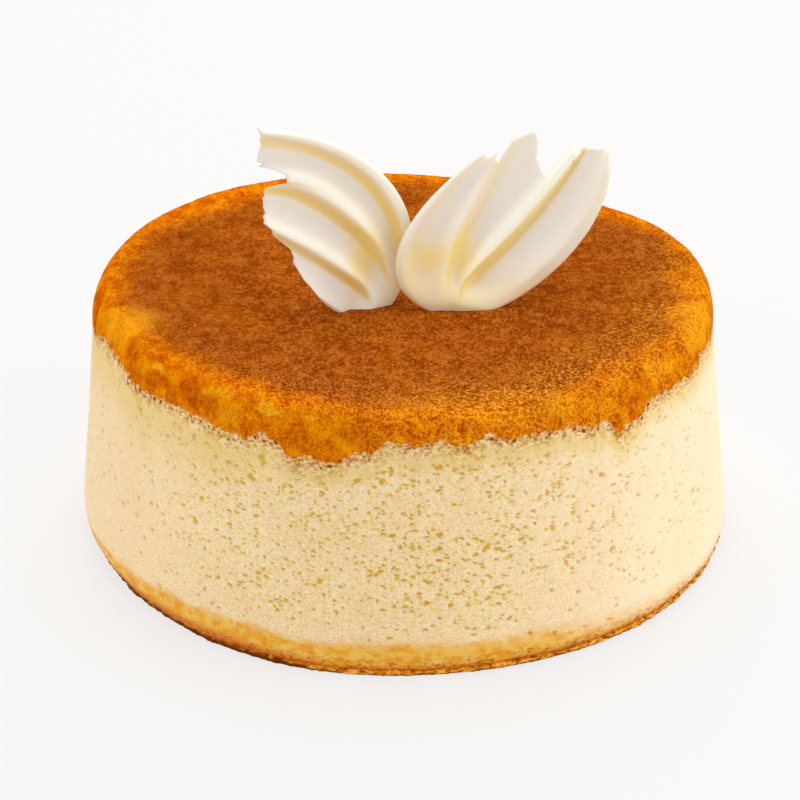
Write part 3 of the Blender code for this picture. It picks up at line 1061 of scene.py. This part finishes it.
@dataclass
class Crust:
    """The browned crust: the whole top, over the rounded rim, to a ragged edge."""

    bake: Bake
    cells: int = 236  # across the flat of the top; the rim has four times as many columns
    row_height: float = 0.45 * MM
    thickness: float = 1.5 * MM

    def build(self) -> bpy.types.Object:
        """Lays the top, draws its border over the rim, and roughens it.

        Returns:
            The piece.
        """
        bpy.ops.object.select_all(action="DESELECT")
        bpy.ops.mesh.primitive_grid_add(
            x_subdivisions=self.cells, y_subdivisions=self.cells, size=2.0
        )
        piece = start_piece("browned_crust")
        place_points(piece.data, self.disc(points_of(piece.data)))
        self.draw_border()
        flat = points_of(piece.data)
        points = self.bake.made_uneven(flat)
        place_points(piece.data, points)
        note(piece.data, "place", points)
        note(piece.data, "radius", np.hypot(flat[:, 0], flat[:, 1]) / MM)
        note(piece.data, "above", (flat[:, 2] - self.bake.crust_edge) / MM)
        apply_relief(piece, lambda graph: CrustPattern(graph).relief())
        return piece

    def disc(self, square: np.ndarray) -> np.ndarray:
        """Rounds a square grid into the flat of the top, dished in its middle.

        Args:
            square: the grid's points, from -1 to 1 both ways.

        Returns:
            The points of the top, in metres, in the same order.
        """
        radius = np.maximum(np.abs(square[:, 0]), np.abs(square[:, 1]))
        wide = np.abs(square[:, 0]) >= np.abs(square[:, 1])
        safe = np.where(radius < 1e-9, 1.0, np.where(wide, square[:, 0], square[:, 1]))
        eighth, quarter = 0.25 * math.pi, 0.5 * math.pi
        from_x, from_y = eighth * square[:, 1] / safe, eighth * square[:, 0] / safe
        turn = np.where(wide, from_x, quarter - from_y)
        reach = np.sign(safe) * radius
        disc = np.stack((reach * np.cos(turn), reach * np.sin(turn), np.zeros(len(radius))), axis=1)
        disc *= self.bake.flat_radius
        dish = self.bake.centre_dish * (1.0 - smooth_step(0.0, 0.86, radius))
        disc[:, 2] = self.bake.top_height - dish
        return disc

    def draw_border(self) -> None:
        """Draws the border of the top over the rim, ring by ring, and closes it underneath."""
        bpy.ops.object.mode_set(mode="EDIT")
        bpy.ops.mesh.select_all(action="DESELECT")
        bpy.ops.mesh.select_mode(type="EDGE")
        bpy.ops.mesh.select_non_manifold()
        here, level = self.bake.flat_radius, self.bake.top_height
        for ring, height in self.border():
            move = {"value": (0.0, 0.0, height - level)}
            bpy.ops.mesh.extrude_region_move(TRANSFORM_OT_translate=move)
            size = ring / here
            bpy.ops.transform.resize(value=(size, size, 1.0), center_override=(0.0, 0.0, 0.0))
            here, level = ring, height
        bpy.ops.mesh.edge_face_add()
        bpy.ops.mesh.select_all(action="SELECT")
        bpy.ops.mesh.normals_make_consistent(inside=False)
        bpy.ops.object.mode_set(mode="OBJECT")

    def border(self) -> list[tuple[float, float]]:
        """The rings from the flat of the top, over the rim, to the crust's inner wall.

        Returns:
            (radius, height) of each ring, in metres.
        """
        bake = self.bake
        rim = [bake.rim_point(turn) for turn in np.linspace(90.0, 0.0, 200)]
        hem = bake.crust_edge - bake.crust_hem
        rim = [point for point in rim if point[1] > hem]
        rim.append((float(bake.outer_radius(hem)), hem))
        rings = resampled(rim, self.row_height)[1:]
        edge_radius, edge_height = rings[-1]
        rings += [
            (edge_radius - 0.1 * MM, edge_height - 0.08 * MM),
            (edge_radius - 0.4 * MM, edge_height - 0.1 * MM),
            (edge_radius - 0.9 * MM, edge_height),
            (edge_radius - self.thickness, edge_height + 1.0 * MM),
            (edge_radius - 3.2 * MM, bake.top_height - 2.6 * MM),
        ]
        return rings

    def finish(self) -> Finish:
        """Brown in the middle, gold and orange round the rim, finely speckled all over, with
        painted shade on the right of the middle and on the upturned top of the rim.

        Returns:
            The finish.
        """
        finish = Finish("browned_crust_finish", Looks.BAKED)
        graph = finish.graph
        pattern = CrustPattern(graph)
        place, radius, above = pattern.place, pattern.radius, pattern.above
        wander = (graph.cloud(place, 11.0, 3.0) - 0.5) * 14.0
        behind, right = pattern.behind(), pattern.across.ramp(0.005, 0.03)
        ring = (radius + wander + behind * 5.0 - right * (1.0 - behind) * 1.2).ramp(58.0, 69.5)
        patchy = graph.cloud(place, 7.0, 3.0).ramp(0.35, 0.65)
        middle = graph.mix(patchy, linear(146, 65, 3), linear(168, 83, 9))
        # Painted shade: the middle of the top is darker towards the right.
        middle = graph.mix(right * 0.2, middle, linear(120, 50, 0))
        mottled = graph.cloud(graph.stretch(place, (1.3, 1.0, 0.7)), 4.2, 4.0, 0.6)
        gold = graph.mix(mottled.ramp(0.4, 0.6), linear(202, 84, 0), linear(244, 146, 0))
        # Painted shade: the gold is darker where the rim turns up to face the top light.
        gold = graph.mix(above.ramp(4.5, 6.6) * 0.4, gold, linear(206, 96, 0))
        colour = graph.mix(ring, middle, gold)
        down = above.ramp(4.5, 1.0) * graph.cloud(place, 6.0, 2.0).ramp(0.6, 0.4)
        colour = graph.mix(down * 0.7, colour, linear(204, 92, 0))
        colour = graph.mix(rim_patch_share(graph, place, DARK_RIM_PATCHES) * 0.8, colour, linear(178, 72, 0))
        colour = graph.mix(rim_patch_share(graph, place, PALE_RIM_PATCHES) * 0.85, colour, linear(255, 180, 30))
        colour = self.speckled(graph, colour, pattern, ring)
        foam = foam_colour(graph, place, above)
        colour = graph.mix(browned_share(graph, place, above), foam, colour)
        finish.paint("Base Color", colour)
        fine = graph.cloud(place, 0.6, 3.0, 0.7) - 0.5
        grain = fine * (0.28 * MM) + (pattern.grain() - 0.5) * (0.15 * MM)
        finish.emboss(grain * pattern.grainy(), 1.0)
        return finish

    def speckled(
        self, graph: Graph, colour: Signal, pattern: CrustPattern, ring: Signal
    ) -> Signal:
        """Scatters bright and dark specks of three sizes, partly the grain's own colour and partly
        painted highlight and shade on its crumbs, with painted highlights on the crumbs and dark
        pits, partly painted shade.

        Args:
            graph: the finish's graph.
            colour: the colour so far.
            pattern: the crust's pattern in that graph.
            ring: how golden the crust is, from 0 in the middle to 1 round the rim.

        Returns:
            The speckled colour.
        """
        place, across = pattern.place, pattern.across
        bright = graph.mix(ring, linear(206, 120, 50), linear(255, 158, 20))
        dark = graph.mix(ring, linear(104, 36, 0), linear(140, 46, 0))
        grainy = pattern.grainy()
        outer = pattern.radius.ramp(44.0, 62.0)
        crisp = (1.0 - 0.3 * across.ramp(0.02, 0.055)) * (1.0 - 0.5 * across.ramp(-0.02, -0.055))
        crisp = crisp * (1.0 - 0.15 * pattern.above.ramp(5.6, 4.4)) * (1.0 - 0.4 * pattern.behind())
        # Bright and dark specks: partly the grain's own colour, partly painted highlight and shade
        # on its crumbs.
        layers = ((2.6, 0.3), (0.85, 0.45 * crisp), (0.45, (0.18 + 0.52 * outer) * crisp))
        for size, contrast in layers:
            speck = graph.cloud(graph.stretch(place, (1.0, 0.75, 1.0)), size, 2.0, 0.65)
            colour = graph.mix(speck.ramp(0.52, 0.62) * contrast * grainy, colour, bright)
            colour = graph.mix(speck.ramp(0.48, 0.38) * contrast * grainy, colour, dark)
        # Painted highlights on the crumbs round the right of the front rim.
        sparkle = pattern.crumbly() * crisp * graph.cloud(place, 0.8, 2.0).ramp(0.52, 0.6)
        colour = graph.mix(sparkle * 0.65, colour, linear(255, 180, 44))
        # Dark pits: partly their own colour, partly painted shade where they are sunk.
        return graph.mix(pattern.pits() * 0.6, colour, linear(104, 38, 0))


# The base


@dataclass
class Base:
    """The browned base skin: a thin flaky wafer under the cake, its lip just showing all round."""

    bake: Bake
    lip_reach: float = 0.3 * MM
    lip_height: float = 1.5 * MM
    steps: int = 1400

    def profile(self) -> list[tuple[float, float]]:
        """The outline that is turned.

        Returns:
            (radius, height) from the hidden middle above, out to the lip, and to the middle
            below, in metres.
        """
        bake = self.bake
        lip = float(bake.outer_radius(self.lip_height)) + self.lip_reach
        return [(0.0, 1.2 * MM), (60.0 * MM, 1.2 * MM), (lip - 3.0 * MM, 1.6 * MM)] + resampled((
            (lip - 0.9 * MM, 1.8 * MM),
            (lip - 0.2 * MM, 1.65 * MM),
            (lip, 1.3 * MM),
            (lip - 0.1 * MM, 0.9 * MM),
            (lip - 0.4 * MM, 0.45 * MM),
            (lip - 0.9 * MM, 0.12 * MM),
            (lip - 1.8 * MM, 0.0),
        ), 0.2 * MM) + [(0.5 * bake.foot_radius, 0.0), (0.0, 0.0)]

    def build(self) -> bpy.types.Object:
        """Turns the wafer, follows the uneven foot, and frays its lip.

        Returns:
            The piece.
        """
        piece = turned("browned_base", self.profile(), self.steps)
        flat = points_of(piece.data)
        points = self.bake.made_uneven(flat)
        place_points(piece.data, points)
        note(piece.data, "place", points)
        foot, radius = self.bake.foot_radius, np.hypot(flat[:, 0], flat[:, 1])
        lip = smooth_step(foot - 1.0 * MM, foot + 0.3 * MM, radius)
        note(piece.data, "lip", lip * smooth_step(0.0, 0.4 * MM, flat[:, 2]))
        apply_relief(piece, self.relief)
        return piece

    def relief(self, graph: Graph) -> Signal:
        """The frayed, flaky lip.

        Args:
            graph: the relief's graph.

        Returns:
            How far out each point moves, in metres.
        """
        place = graph.attribute("place", vector=True)
        frays = graph.cloud(graph.stretch(place, (1.0, 1.0, 0.4)), 1.6, 3.0, 0.6) - 0.5
        slow = graph.cloud(place, 7.0, 1.0) - 0.5
        return graph.attribute("lip") * (frays * (1.3 * MM) + slow * (0.8 * MM) - 0.1 * MM)

    def finish(self) -> Finish:
        """Orange flakes with brown between them, and painted shade along the underside of the lip,
        taller on the left, where the base tucks in.

        Returns:
            The finish.
        """
        finish = Finish("browned_base_finish", Looks.BAKED)
        graph = finish.graph
        place = graph.attribute("place", vector=True)
        flakes = graph.cloud(graph.stretch(place, (1.0, 1.0, 1.5)), 2.0, 3.0, 0.6)
        colour = graph.mix(flakes.ramp(0.38, 0.6), linear(224, 126, 6), linear(255, 186, 70))
        gaps = graph.cloud(graph.stretch(place, (1.0, 1.0, 2.5)), 1.4, 3.0, 0.65)
        colour = graph.mix(gaps.ramp(0.5, 0.42) * 0.85, colour, linear(140, 56, 0))
        # Painted shade along the underside of the lip, taller on the left where the base tucks in.
        tucked = graph.part(place, 0).ramp(-0.012, -0.03)
        ragged = graph.cloud(place, 2.0, 3.0, 0.6) * (1.0 * MM)
        lit, dark = 1.3 * MM + tucked * (1.3 * MM), 0.8 * MM + tucked * (0.9 * MM)
        shade = (graph.part(place, 2) + ragged).ramp(lit, dark)
        colour = graph.mix(shade, colour, linear(112, 50, 4))
        finish.paint("Base Color", colour)
        finish.emboss((graph.cloud(place, 0.6, 3.0, 0.7) - 0.5) * (0.2 * MM), 0.9)
        return finish


# The wings


def bezier(points: Sequence[tuple[float, float]], share: np.ndarray) -> np.ndarray:
    """A cubic Bezier curve.

    Args:
        points: its four points as (across, up).
        share: shares of the way along it.

    Returns:
        A row of (across, up) for each share.
    """
    rest = 1.0 - share
    weights = (rest**3, 3.0 * rest * rest * share, 3.0 * rest * share * share, share**3)
    return np.stack([sum(w * p[axis] for w, p in zip(weights, points)) for axis in (0, 1)], axis=-1)


def eased(before: np.ndarray, here: np.ndarray, after: np.ndarray) -> np.ndarray:
    """Slopes of a smooth curve, short enough for it not to fold where its points crowd.

    Args:
        before: the points before.
        here: the points at which the slopes are wanted.
        after: the points after.

    Returns:
        The slope at each point.
    """
    slope = 0.5 * (after - before)
    near = np.minimum(np.hypot(*(here - before).T), np.hypot(*(after - here).T))
    return slope * np.minimum(1.0, 1.4 * near / np.maximum(np.hypot(*slope.T), 1e-9))[:, None]


def smooth_curve(points: Sequence[np.ndarray], share: np.ndarray) -> np.ndarray:
    """A smooth curve through points, for many places at once.

    Args:
        points: the points in order, each an array with a row for each place.
        share: the share of the way along the curve at each place.

    Returns:
        A row of (across, up) for each place.
    """
    spans = len(points) - 1
    span = np.minimum((share * spans).astype(int), spans - 1)
    stack = np.stack([2.0 * points[0] - points[1], *points, 2.0 * points[-1] - points[-2]])
    rows = np.arange(stack.shape[1])
    u = (share * spans - span)[:, None]
    a, b, c, d = (stack[span + step, rows] for step in range(4))
    leaving, arriving = eased(a, b, c), eased(b, c, d)
    return (b + leaving * u + (3.0 * (c - b) - 2.0 * leaving - arriving) * u * u
            + (2.0 * (b - c) + leaving + arriving) * u**3)


@dataclass(frozen=True)
class Rib:
    """A rib of a wing: a gentle side, a crest, a steep side, and a groove beyond it."""

    path: tuple[float, float, float, float]  # four control values of its share of the way across
    height: float  # mm
    loss: float = 0.0  # share of the height that it loses towards the broken end
    gentle: float = 0.1  # width of its gentle side, as a share of the way across
    steep: float = 0.034  # width of its steep side
    groove: float = 0.047  # how far beyond the crest its groove lies
    groove_strength: float = 1.0  # how strong its groove is: how deep, and how strongly painted with yellow glow and shade

    def off(self, along: np.ndarray, over: np.ndarray) -> np.ndarray:
        """How far beyond the crest places are.

        Args:
            along: their share of the length.
            over: their share of the way across.

        Returns:
            The distances, as a share of the way across.
        """
        rest = 1.0 - along
        weights = (rest**3, 3.0 * rest * rest * along, 3.0 * rest * along * along, along**3)
        return over - sum(weight * value for weight, value in zip(weights, self.path))


@dataclass(frozen=True)
class Wing:
    """A white chocolate wing: a thin sheet spanned by four guide curves that fan out of its foot.

    Guides run from the foot to the broken end, in the wing's own plane: (across, up) in mm. Ends
    are (share of the way across, share of the length) where the sheet broke off. Bowls are hollows
    painted with a yellow glow, and with a strength below 0 paler ones: (share across, share of the
    length, half of the width, half of the length, strength).
    """

    name: str
    foot: tuple[float, float, float]  # where the plane's origin stands on the cake, mm
    yaw: float  # degrees, turned about Z
    lean: float  # degrees, leaning back from upright
    cup: float  # how far the side edges bow, mm
    curl: float  # how far the broken end bows, mm
    foot_swell: float  # extra thickness of the foot's lip, mm
    foot_lip: float  # where the lip lies, as a share of the length
    guides: tuple
    ribs: tuple
    ends: tuple
    bowls: tuple
    toe: float = 0.0  # how far the far side of the foot comes forward, mm
    rows: int = 110
    fineness: int = 6  # columns for each place in ends
    sheet: float = 1.5  # thickness between the ribs, at the foot, mm
    tip: float = 0.9  # and at the broken end
    broken_from: float = 0.5  # share of the length beyond which the broken end is drawn in or out
    bow: tuple[float, float, float] = (0.0, -0.9, 0.44)  # direction in which cup and curl bend it
    chip: float = 0.007  # how deep the break is chipped, as a share of the length

    def axes(self) -> tuple[Vector, Vector, Vector]:
        """The plane's directions.

        Returns:
            Across, up, and out of its ribbed face.
        """
        yaw, lean = math.radians(self.yaw), math.radians(self.lean)
        across = Vector((math.cos(yaw), math.sin(yaw), 0.0))
        back = Vector((-math.sin(yaw), math.cos(yaw), 0.0))
        up = Vector((0.0, 0.0, math.cos(lean))) + back * math.sin(lean)
        return across, up, across.cross(up)

    def columns(self) -> tuple[np.ndarray, np.ndarray]:
        """Where the columns run, with a finely chipped break.

        Returns:
            The share of the way across and the share of the length of each column.
        """
        marks = np.arange((len(self.ends) - 1) * self.fineness + 1) / self.fineness
        over, end = (np.interp(marks, range(len(self.ends)), part) for part in zip(*self.ends))
        chips = [noise.noise(Vector((1.3 * mark, self.foot[0], 0.0))) for mark in marks]
        return over, end + self.chip * np.array(chips)

    def build(self) -> bpy.types.Object:
        """Lays a grid on the guides and gives it its uneven thickness.

        Returns:
            The piece.
        """
        over_at, end_at = self.columns()
        spaces = len(over_at) - 1
        bpy.ops.object.select_all(action="DESELECT")
        bpy.ops.mesh.primitive_grid_add(x_subdivisions=spaces, y_subdivisions=self.rows, size=1.0)
        piece = start_piece(self.name + "_chocolate")
        grid = points_of(piece.data)
        column = np.rint((grid[:, 0] + 0.5) * spaces).astype(int)
        row = grid[:, 1] + 0.5
        over, end = over_at[column], end_at[column]
        beyond = np.maximum(0.0, row - self.broken_from)
        along = row + (end - 1.0) * beyond / (1.0 - self.broken_from)
        place_points(piece.data, self.laid(along, over))
        note(piece.data, "along", row)
        note(piece.data, "gilded", self.glow_and_shade_share(row, over))
        note(piece.data, "crest", self.raised(row, over))
        self.thicken(piece, self.thickness(row, over))
        front = np.concatenate((np.ones(len(row)), np.zeros(len(row))))
        note(piece.data, "front", front)
        note(piece.data, "place", points_of(piece.data))
        return piece

    def flat(self, along: np.ndarray, over: np.ndarray) -> np.ndarray:
        """(across, up) in mm of places on the sheet, before it bends."""
        return smooth_curve([bezier(guide, along) for guide in self.guides], over)

    def laid(self, along: np.ndarray, over: np.ndarray) -> np.ndarray:
        """Lays places of the sheet on its back face.

        Args:
            along: their share of the length.
            over: their share of the way across.

        Returns:
            The points, in metres.
        """
        flat = self.flat(along, over)
        cupped = self.cup * (2.0 * over - 1.0) ** 2 * smooth_step(0.0, 0.5, along)
        bend = cupped + self.curl * along * along
        across, up, out = (np.array(axis) for axis in self.axes())
        toe = self.toe * over * np.exp(-((along / 0.3) ** 2))
        sheet = flat[:, :1] * across + flat[:, 1:] * up + bend[:, None] * np.array(self.bow)
        sheet = sheet + toe[:, None] * out
        return (np.array(self.foot) + sheet) * MM

    def openness(self, along: np.ndarray, over: np.ndarray) -> np.ndarray:
        """How spread out the guides are.

        Args:
            along: the places' share of the length.
            over: their share of the way across.

        Returns:
            From 0, where the guides crowd together, to 1.
        """
        step = 0.03
        left = self.flat(along, np.clip(over - step, 0.0, 1.0))
        right = self.flat(along, np.clip(over + step, 0.0, 1.0))
        return smooth_step(0.0, 30.0, np.hypot(*(right - left).T) / (2.0 * step))

    def raised(self, along: np.ndarray, over: np.ndarray) -> np.ndarray:
        """The ribs, which are lower and softer near the foot.

        Args:
            along: the places' share of the length.
            over: their share of the way across.

        Returns:
            Their height at each place, mm.
        """
        total = np.zeros(len(over))
        for rib in self.ribs:
            off = rib.off(along, over)
            steep = rib.steep + 0.05 * smooth_step(0.4, 0.1, along)
            width = np.where(off < 0.0, rib.gentle, steep)
            dip = 0.2 * rib.groove_strength * np.exp(-(((off - 1.25 * rib.groove) / steep) ** 2))
            total += rib.height * (1.0 - rib.loss * along) * (np.exp(-((off / width) ** 2)) - dip)
        return total * self.openness(along, over)

    def thickness(self, along: np.ndarray, over: np.ndarray) -> np.ndarray:
        """The chocolate: a sheet, its ribs, and the lip of the foot.

        Args:
            along: the places' share of the length.
            over: their share of the way across.

        Returns:
            Its thickness at each place, mm.
        """
        grown = smooth_step(self.foot_lip - 0.04, self.foot_lip + 0.26, along) * (1.0 - 0.3 * along)
        sheet = self.sheet + (self.tip - self.sheet) * along
        reach = np.where(along > self.foot_lip, 0.14, 0.06)
        swell = np.exp(-(((along - self.foot_lip) / reach) ** 2)) * np.sin(math.pi * over) ** 0.5
        full = sheet + self.raised(along, over) * grown + self.foot_swell * swell
        border = np.minimum(over, 1.0 - over) / 0.035
        rounded = np.sqrt(1.0 - (1.0 - np.clip(border, 0.0, 1.0)) ** 2)
        return full * (0.3 + 0.7 * rounded)

    def glow_and_shade_share(self, along: np.ndarray, over: np.ndarray) -> np.ndarray:
        """Painted yellow glow and shade: in the ribs' grooves, in the bowls and near the foot.

        Args:
            along: the places' share of the length.
            over: their share of the way across.

        Returns:
            From 0 to 1 at each place.
        """
        total = 0.45 * smooth_step(0.55, 0.15, along)
        fading = 1.0 - 0.4 * smooth_step(0.5, 1.0, along)
        fading = fading * smooth_step(self.foot_lip, self.foot_lip + 0.16, along)
        for rib in self.ribs:
            groove = np.exp(-(((rib.off(along, over) - rib.groove) / rib.steep) ** 2))
            total += rib.groove_strength * groove * fading
        for across, up, wide, long, strength in self.bowls:
            off = ((over - across) / wide) ** 2 + ((along - up) / long) ** 2
            total += strength * np.exp(-off)
        return np.clip(total, 0.0, 1.0)

    def thicken(self, piece: bpy.types.Object, thickness: np.ndarray) -> None:
        """Solidifies the sheet, and lays its ribbed face straight out from its back.

        Args:
            piece: the sheet.
            thickness: how thick it is at each of its points, mm.
        """
        back = points_of(piece.data)
        solidify = piece.modifiers.new("chocolate", "SOLIDIFY")
        solidify.thickness = self.tip * MM
        apply_modifiers(piece)
        front = back + np.array(self.axes()[2]) * (thickness[:, None] * MM)
        place_points(piece.data, np.concatenate((front, back)))
        bpy.ops.object.mode_set(mode="EDIT")
        bpy.ops.mesh.select_all(action="SELECT")
        bpy.ops.mesh.normals_make_consistent(inside=False)
        bpy.ops.object.mode_set(mode="OBJECT")


def chocolate_finish() -> Finish:
    """Ivory white chocolate, with painted highlight on its crests, painted yellow glow and shade
    where light gathers in its grooves, bowls and foot, and painted lighter towards the foot.

    Returns:
        The finish.
    """
    finish = Finish("white_chocolate_finish", Looks.CHOCOLATE)
    graph = finish.graph
    place = graph.attribute("place", vector=True)
    # Painted yellow glow and shade, weaker on the back.
    gilded = graph.attribute("gilded") * (0.3 + 0.7 * graph.attribute("front"))
    crest = graph.attribute("crest")
    # Painted highlight on the crests, and painted shade where the grooves dip below the sheet.
    ivory = graph.mix(crest.ramp(0.5, 2.1), linear(234, 227, 217), linear(255, 250, 234))
    ivory = graph.mix(crest.ramp(0.0, -0.4), ivory, linear(222, 198, 140))
    cloudy = graph.cloud(place, 5.0, 3.0).ramp(0.3, 0.7)
    ivory = graph.mix(cloudy * 0.3, ivory, linear(244, 236, 218))
    # Painted light: paler towards the foot, which otherwise lies in shade.
    foot = graph.attribute("along").ramp(0.32, 0.12)
    ivory = graph.mix(foot * 0.8, ivory, linear(255, 251, 240))
    colour = graph.mix(gilded * 0.9, ivory, linear(252, 222, 132))
    finish.paint("Base Color", colour)
    finish.emboss((graph.cloud(place, 2.2, 3.0) - 0.5) * (0.06 * MM), 0.6)
    return finish


LEFT_WING = Wing(
    name="wing_left",
    foot=(-4.2, -13.6, 59.4),
    yaw=18.0,
    lean=18.0,
    cup=1.5,
    curl=3.0,
    foot_swell=1.5,
    foot_lip=0.07,
    guides=(
        ((-1.0, -2.0), (17.2, 14.4), (5.7, 39.1), (-26.5, 42.6)),
        ((-2.4, -2.2), (4.4, 18.5), (-12.0, 32.6), (-25.0, 30.7)),
        ((-4.6, -2.2), (-4.2, 8.0), (-10.2, 11.6), (-25.8, 21.5)),
        ((-8.0, -2.0), (-10.5, -1.0), (-13.0, 1.0), (-15.4, 4.0)),
    ),
    ribs=(
        Rib((0.05, 0.085, 0.085, 0.03), 1.8, loss=0.2),
        Rib((0.05, 0.53, 0.35, 0.34), 2.6),
        Rib((0.50, 0.76, 0.66, 0.685), 2.3, groove=0.036),
    ),
    ends=(
        (0.0, 0.986), (0.03, 0.981), (0.077, 0.982), (0.127, 0.988), (0.17, 1.0), (0.20, 1.01),
        (0.215, 0.984), (0.226, 1.007), (0.246, 0.986), (0.274, 0.925), (0.30, 0.881),
        (0.334, 0.865), (0.358, 0.865), (0.372, 0.935), (0.384, 0.986), (0.413, 1.0),
        (0.44, 0.988), (0.473, 0.999), (0.522, 0.988), (0.585, 0.983), (0.63, 0.992),
        (0.667, 1.002), (0.686, 0.975), (0.725, 0.98), (0.75, 0.91), (0.797, 0.92),
        (0.84, 0.965), (0.88, 0.985), (0.935, 1.03), (1.0, 0.96),
    ),
    bowls=(
        (0.42, 0.30, 0.13, 0.08, 0.6),
        (0.58, 0.38, 0.11, 0.10, 0.6),
        (0.55, 0.14, 0.30, 0.10, -0.35),
    ),
)

RIGHT_WING = Wing(
    name="wing_right",
    foot=(8.1, -15.8, 59.4),
    yaw=12.0,
    lean=20.0,
    cup=2.5,
    curl=-1.0,
    foot_swell=1.7,
    foot_lip=0.1,
    guides=(
        ((0.6, -1.8), (-26.2, 9.9), (7.9, 32.4), (12.0, 33.9)),
        ((2.0, -1.8), (-1.8, 11.2), (9.4, 22.4), (15.2, 34.2)),
        ((4.4, -2.0), (1.5, 11.0), (10.0, 8.0), (33.0, 34.0)),
        ((7.5, -1.8), (22.2, 0.2), (43.5, 16.2), (40.8, 32.9)),
    ),
    ribs=(
        Rib((0.03, 0.03, 0.03, 0.03), 1.5, loss=0.8, groove_strength=0.3),
        Rib((0.22, 0.31, 0.30, 0.30), 1.6, steep=0.06, groove=0.08, groove_strength=0.5),
        Rib((0.55, 0.78, 0.66, 0.70), 2.6, groove=0.045),
        Rib((0.90, 0.94, 0.93, 0.93), 1.4, loss=0.2, groove_strength=0.2),
    ),
    ends=(
        (0.0, 0.975), (0.06, 0.97), (0.12, 0.965), (0.18, 0.963), (0.244, 0.965),
        (0.28, 0.971), (0.317, 0.994), (0.335, 0.996), (0.347, 0.962), (0.378, 0.948),
        (0.394, 0.944), (0.405, 1.052), (0.444, 1.072), (0.459, 1.077), (0.473, 1.067),
        (0.517, 1.0), (0.55, 0.965), (0.576, 0.944), (0.603, 0.927), (0.636, 0.919),
        (0.645, 0.935), (0.658, 1.002), (0.70, 0.987), (0.733, 0.951), (0.745, 0.998),
        (0.79, 1.0), (0.84, 1.0), (0.90, 1.0), (0.95, 1.0), (1.0, 0.985),
    ),
    bowls=(
        (0.18, 0.35, 0.09, 0.08, 0.7),
        (0.50, 0.44, 0.17, 0.13, 0.95),
        (0.55, 0.13, 0.30, 0.05, 0.3),
    ),
    toe=2.2,
)


# The studio


@dataclass(frozen=True)
class SoftBox:
    """A soft light: a square panel that looks at a point of the cake."""

    name: str
    place: tuple[float, float, float]  # m
    size: float  # m
    power: float  # W
    colour: Colour = (1.0, 1.0, 1.0)
    aim: tuple[float, float, float] = (0.0, 0.0, 0.03)


@dataclass
class Studio:
    """A pale floor, soft lights all round, and the camera."""

    distance: float = 693.0 * MM
    elevation: float = 26.28  # degrees above the horizon
    aim_height: float = 30.0 * MM
    turn_left: float = 0.00134  # the aim is this far off the middle, as slopes
    turn_down: float = 0.00118
    lens: float = 133.85  # mm, for a sensor 36 mm wide
    floor_colour: Colour = (0.15, 0.148, 0.146)
    glow_colour: Colour = (1.0, 0.985, 0.978)  # of the light that the floor gives
    glow: float = 0.76  # how strong that light is
    sky: float = 0.6  # how strong the light from all round is
    boxes: tuple = (
        SoftBox("top_light", (0.05, 0.45, 1.0), 0.9, 8.0),
        SoftBox("right_light", (1.0, -0.15, 0.45), 0.8, 4.3),
        SoftBox("left_light", (-1.0, -0.35, 0.45), 0.8, 2.2),
        SoftBox("front_light", (0.0, -1.0, 0.3), 0.8, 0.45),
    )

    def build(self) -> None:
        """Makes the floor, the lights and the camera."""
        self.floor()
        for box in self.boxes:
            self.light(box)
        world = bpy.data.worlds.new("studio")
        bpy.context.scene.world = world
        world.use_nodes = True
        sky = world.node_tree.nodes["Background"]
        sky.inputs["Color"].default_value = (1.0, 1.0, 1.0, 1.0)
        sky.inputs["Strength"].default_value = self.sky
        self.camera()
        bpy.context.scene.view_settings.view_transform = "Standard"

    def floor(self) -> None:
        """A wide pale floor under the cake."""
        bpy.ops.object.select_all(action="DESELECT")
        bpy.ops.mesh.primitive_plane_add(size=8.0)
        floor = start_piece("floor")
        material = bpy.data.materials.new("floor")
        material.use_nodes = True
        shader = material.node_tree.nodes["Principled BSDF"]
        shader.inputs["Base Color"].default_value = (*self.floor_colour, 1.0)
        shader.inputs["Emission Color"].default_value = (*self.glow_colour, 1.0)
        shader.inputs["Emission Strength"].default_value = self.glow
        shader.inputs["Roughness"].default_value = 0.8
        shader.inputs["Specular IOR Level"].default_value = 0.1
        floor.data.materials.append(material)

    def light(self, box: SoftBox) -> None:
        """Hangs one soft light and turns it to its aim.

        Args:
            box: the light.
        """
        data = bpy.data.lights.new(box.name, "AREA")
        data.shape = "SQUARE"
        data.size = box.size
        data.energy = box.power
        data.color = box.colour
        lamp = bpy.data.objects.new(box.name, data)
        bpy.context.scene.collection.objects.link(lamp)
        lamp.location = box.place
        look = Vector(box.aim) - Vector(box.place)
        lamp.rotation_euler = look.to_track_quat("-Z", "Y").to_euler()

    def camera(self) -> None:
        """The camera, level and looking down at the cake's front."""
        tilt = math.radians(self.elevation)
        forward = Vector((0.0, math.cos(tilt), -math.sin(tilt)))
        up = Vector((0.0, math.sin(tilt), math.cos(tilt)))
        data = bpy.data.cameras.new("camera")
        data.lens = self.lens
        data.sensor_width = 36.0
        camera = bpy.data.objects.new("camera", data)
        bpy.context.scene.collection.objects.link(camera)
        camera.location = Vector((0.0, 0.0, self.aim_height)) - forward * self.distance
        look = forward - Vector((1.0, 0.0, 0.0)) * self.turn_left - up * self.turn_down
        camera.rotation_euler = look.to_track_quat("-Z", "Y").to_euler()
        bpy.context.scene.camera = camera


def main() -> None:
    """Builds the cake's pieces in order, then the studio."""
    logging.basicConfig(level=logging.INFO, format="%(relativeCreated)6d ms %(name)s: %(message)s")
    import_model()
    bake = Bake()
    makers = (
        (Crumb(bake), "cheesecake_crumb"),
        (Crust(bake), "browned_crust"),
        (Base(bake), "browned_base"),
    )
    for maker, slot in makers:
        hand_over(maker.build(), maker.finish(), slot, "cheesecake")
    for wing in (LEFT_WING, RIGHT_WING):
        hand_over(wing.build(), chocolate_finish(), "white_chocolate", wing.name)
    Studio().build()


if __name__ == "__main__":
    main()
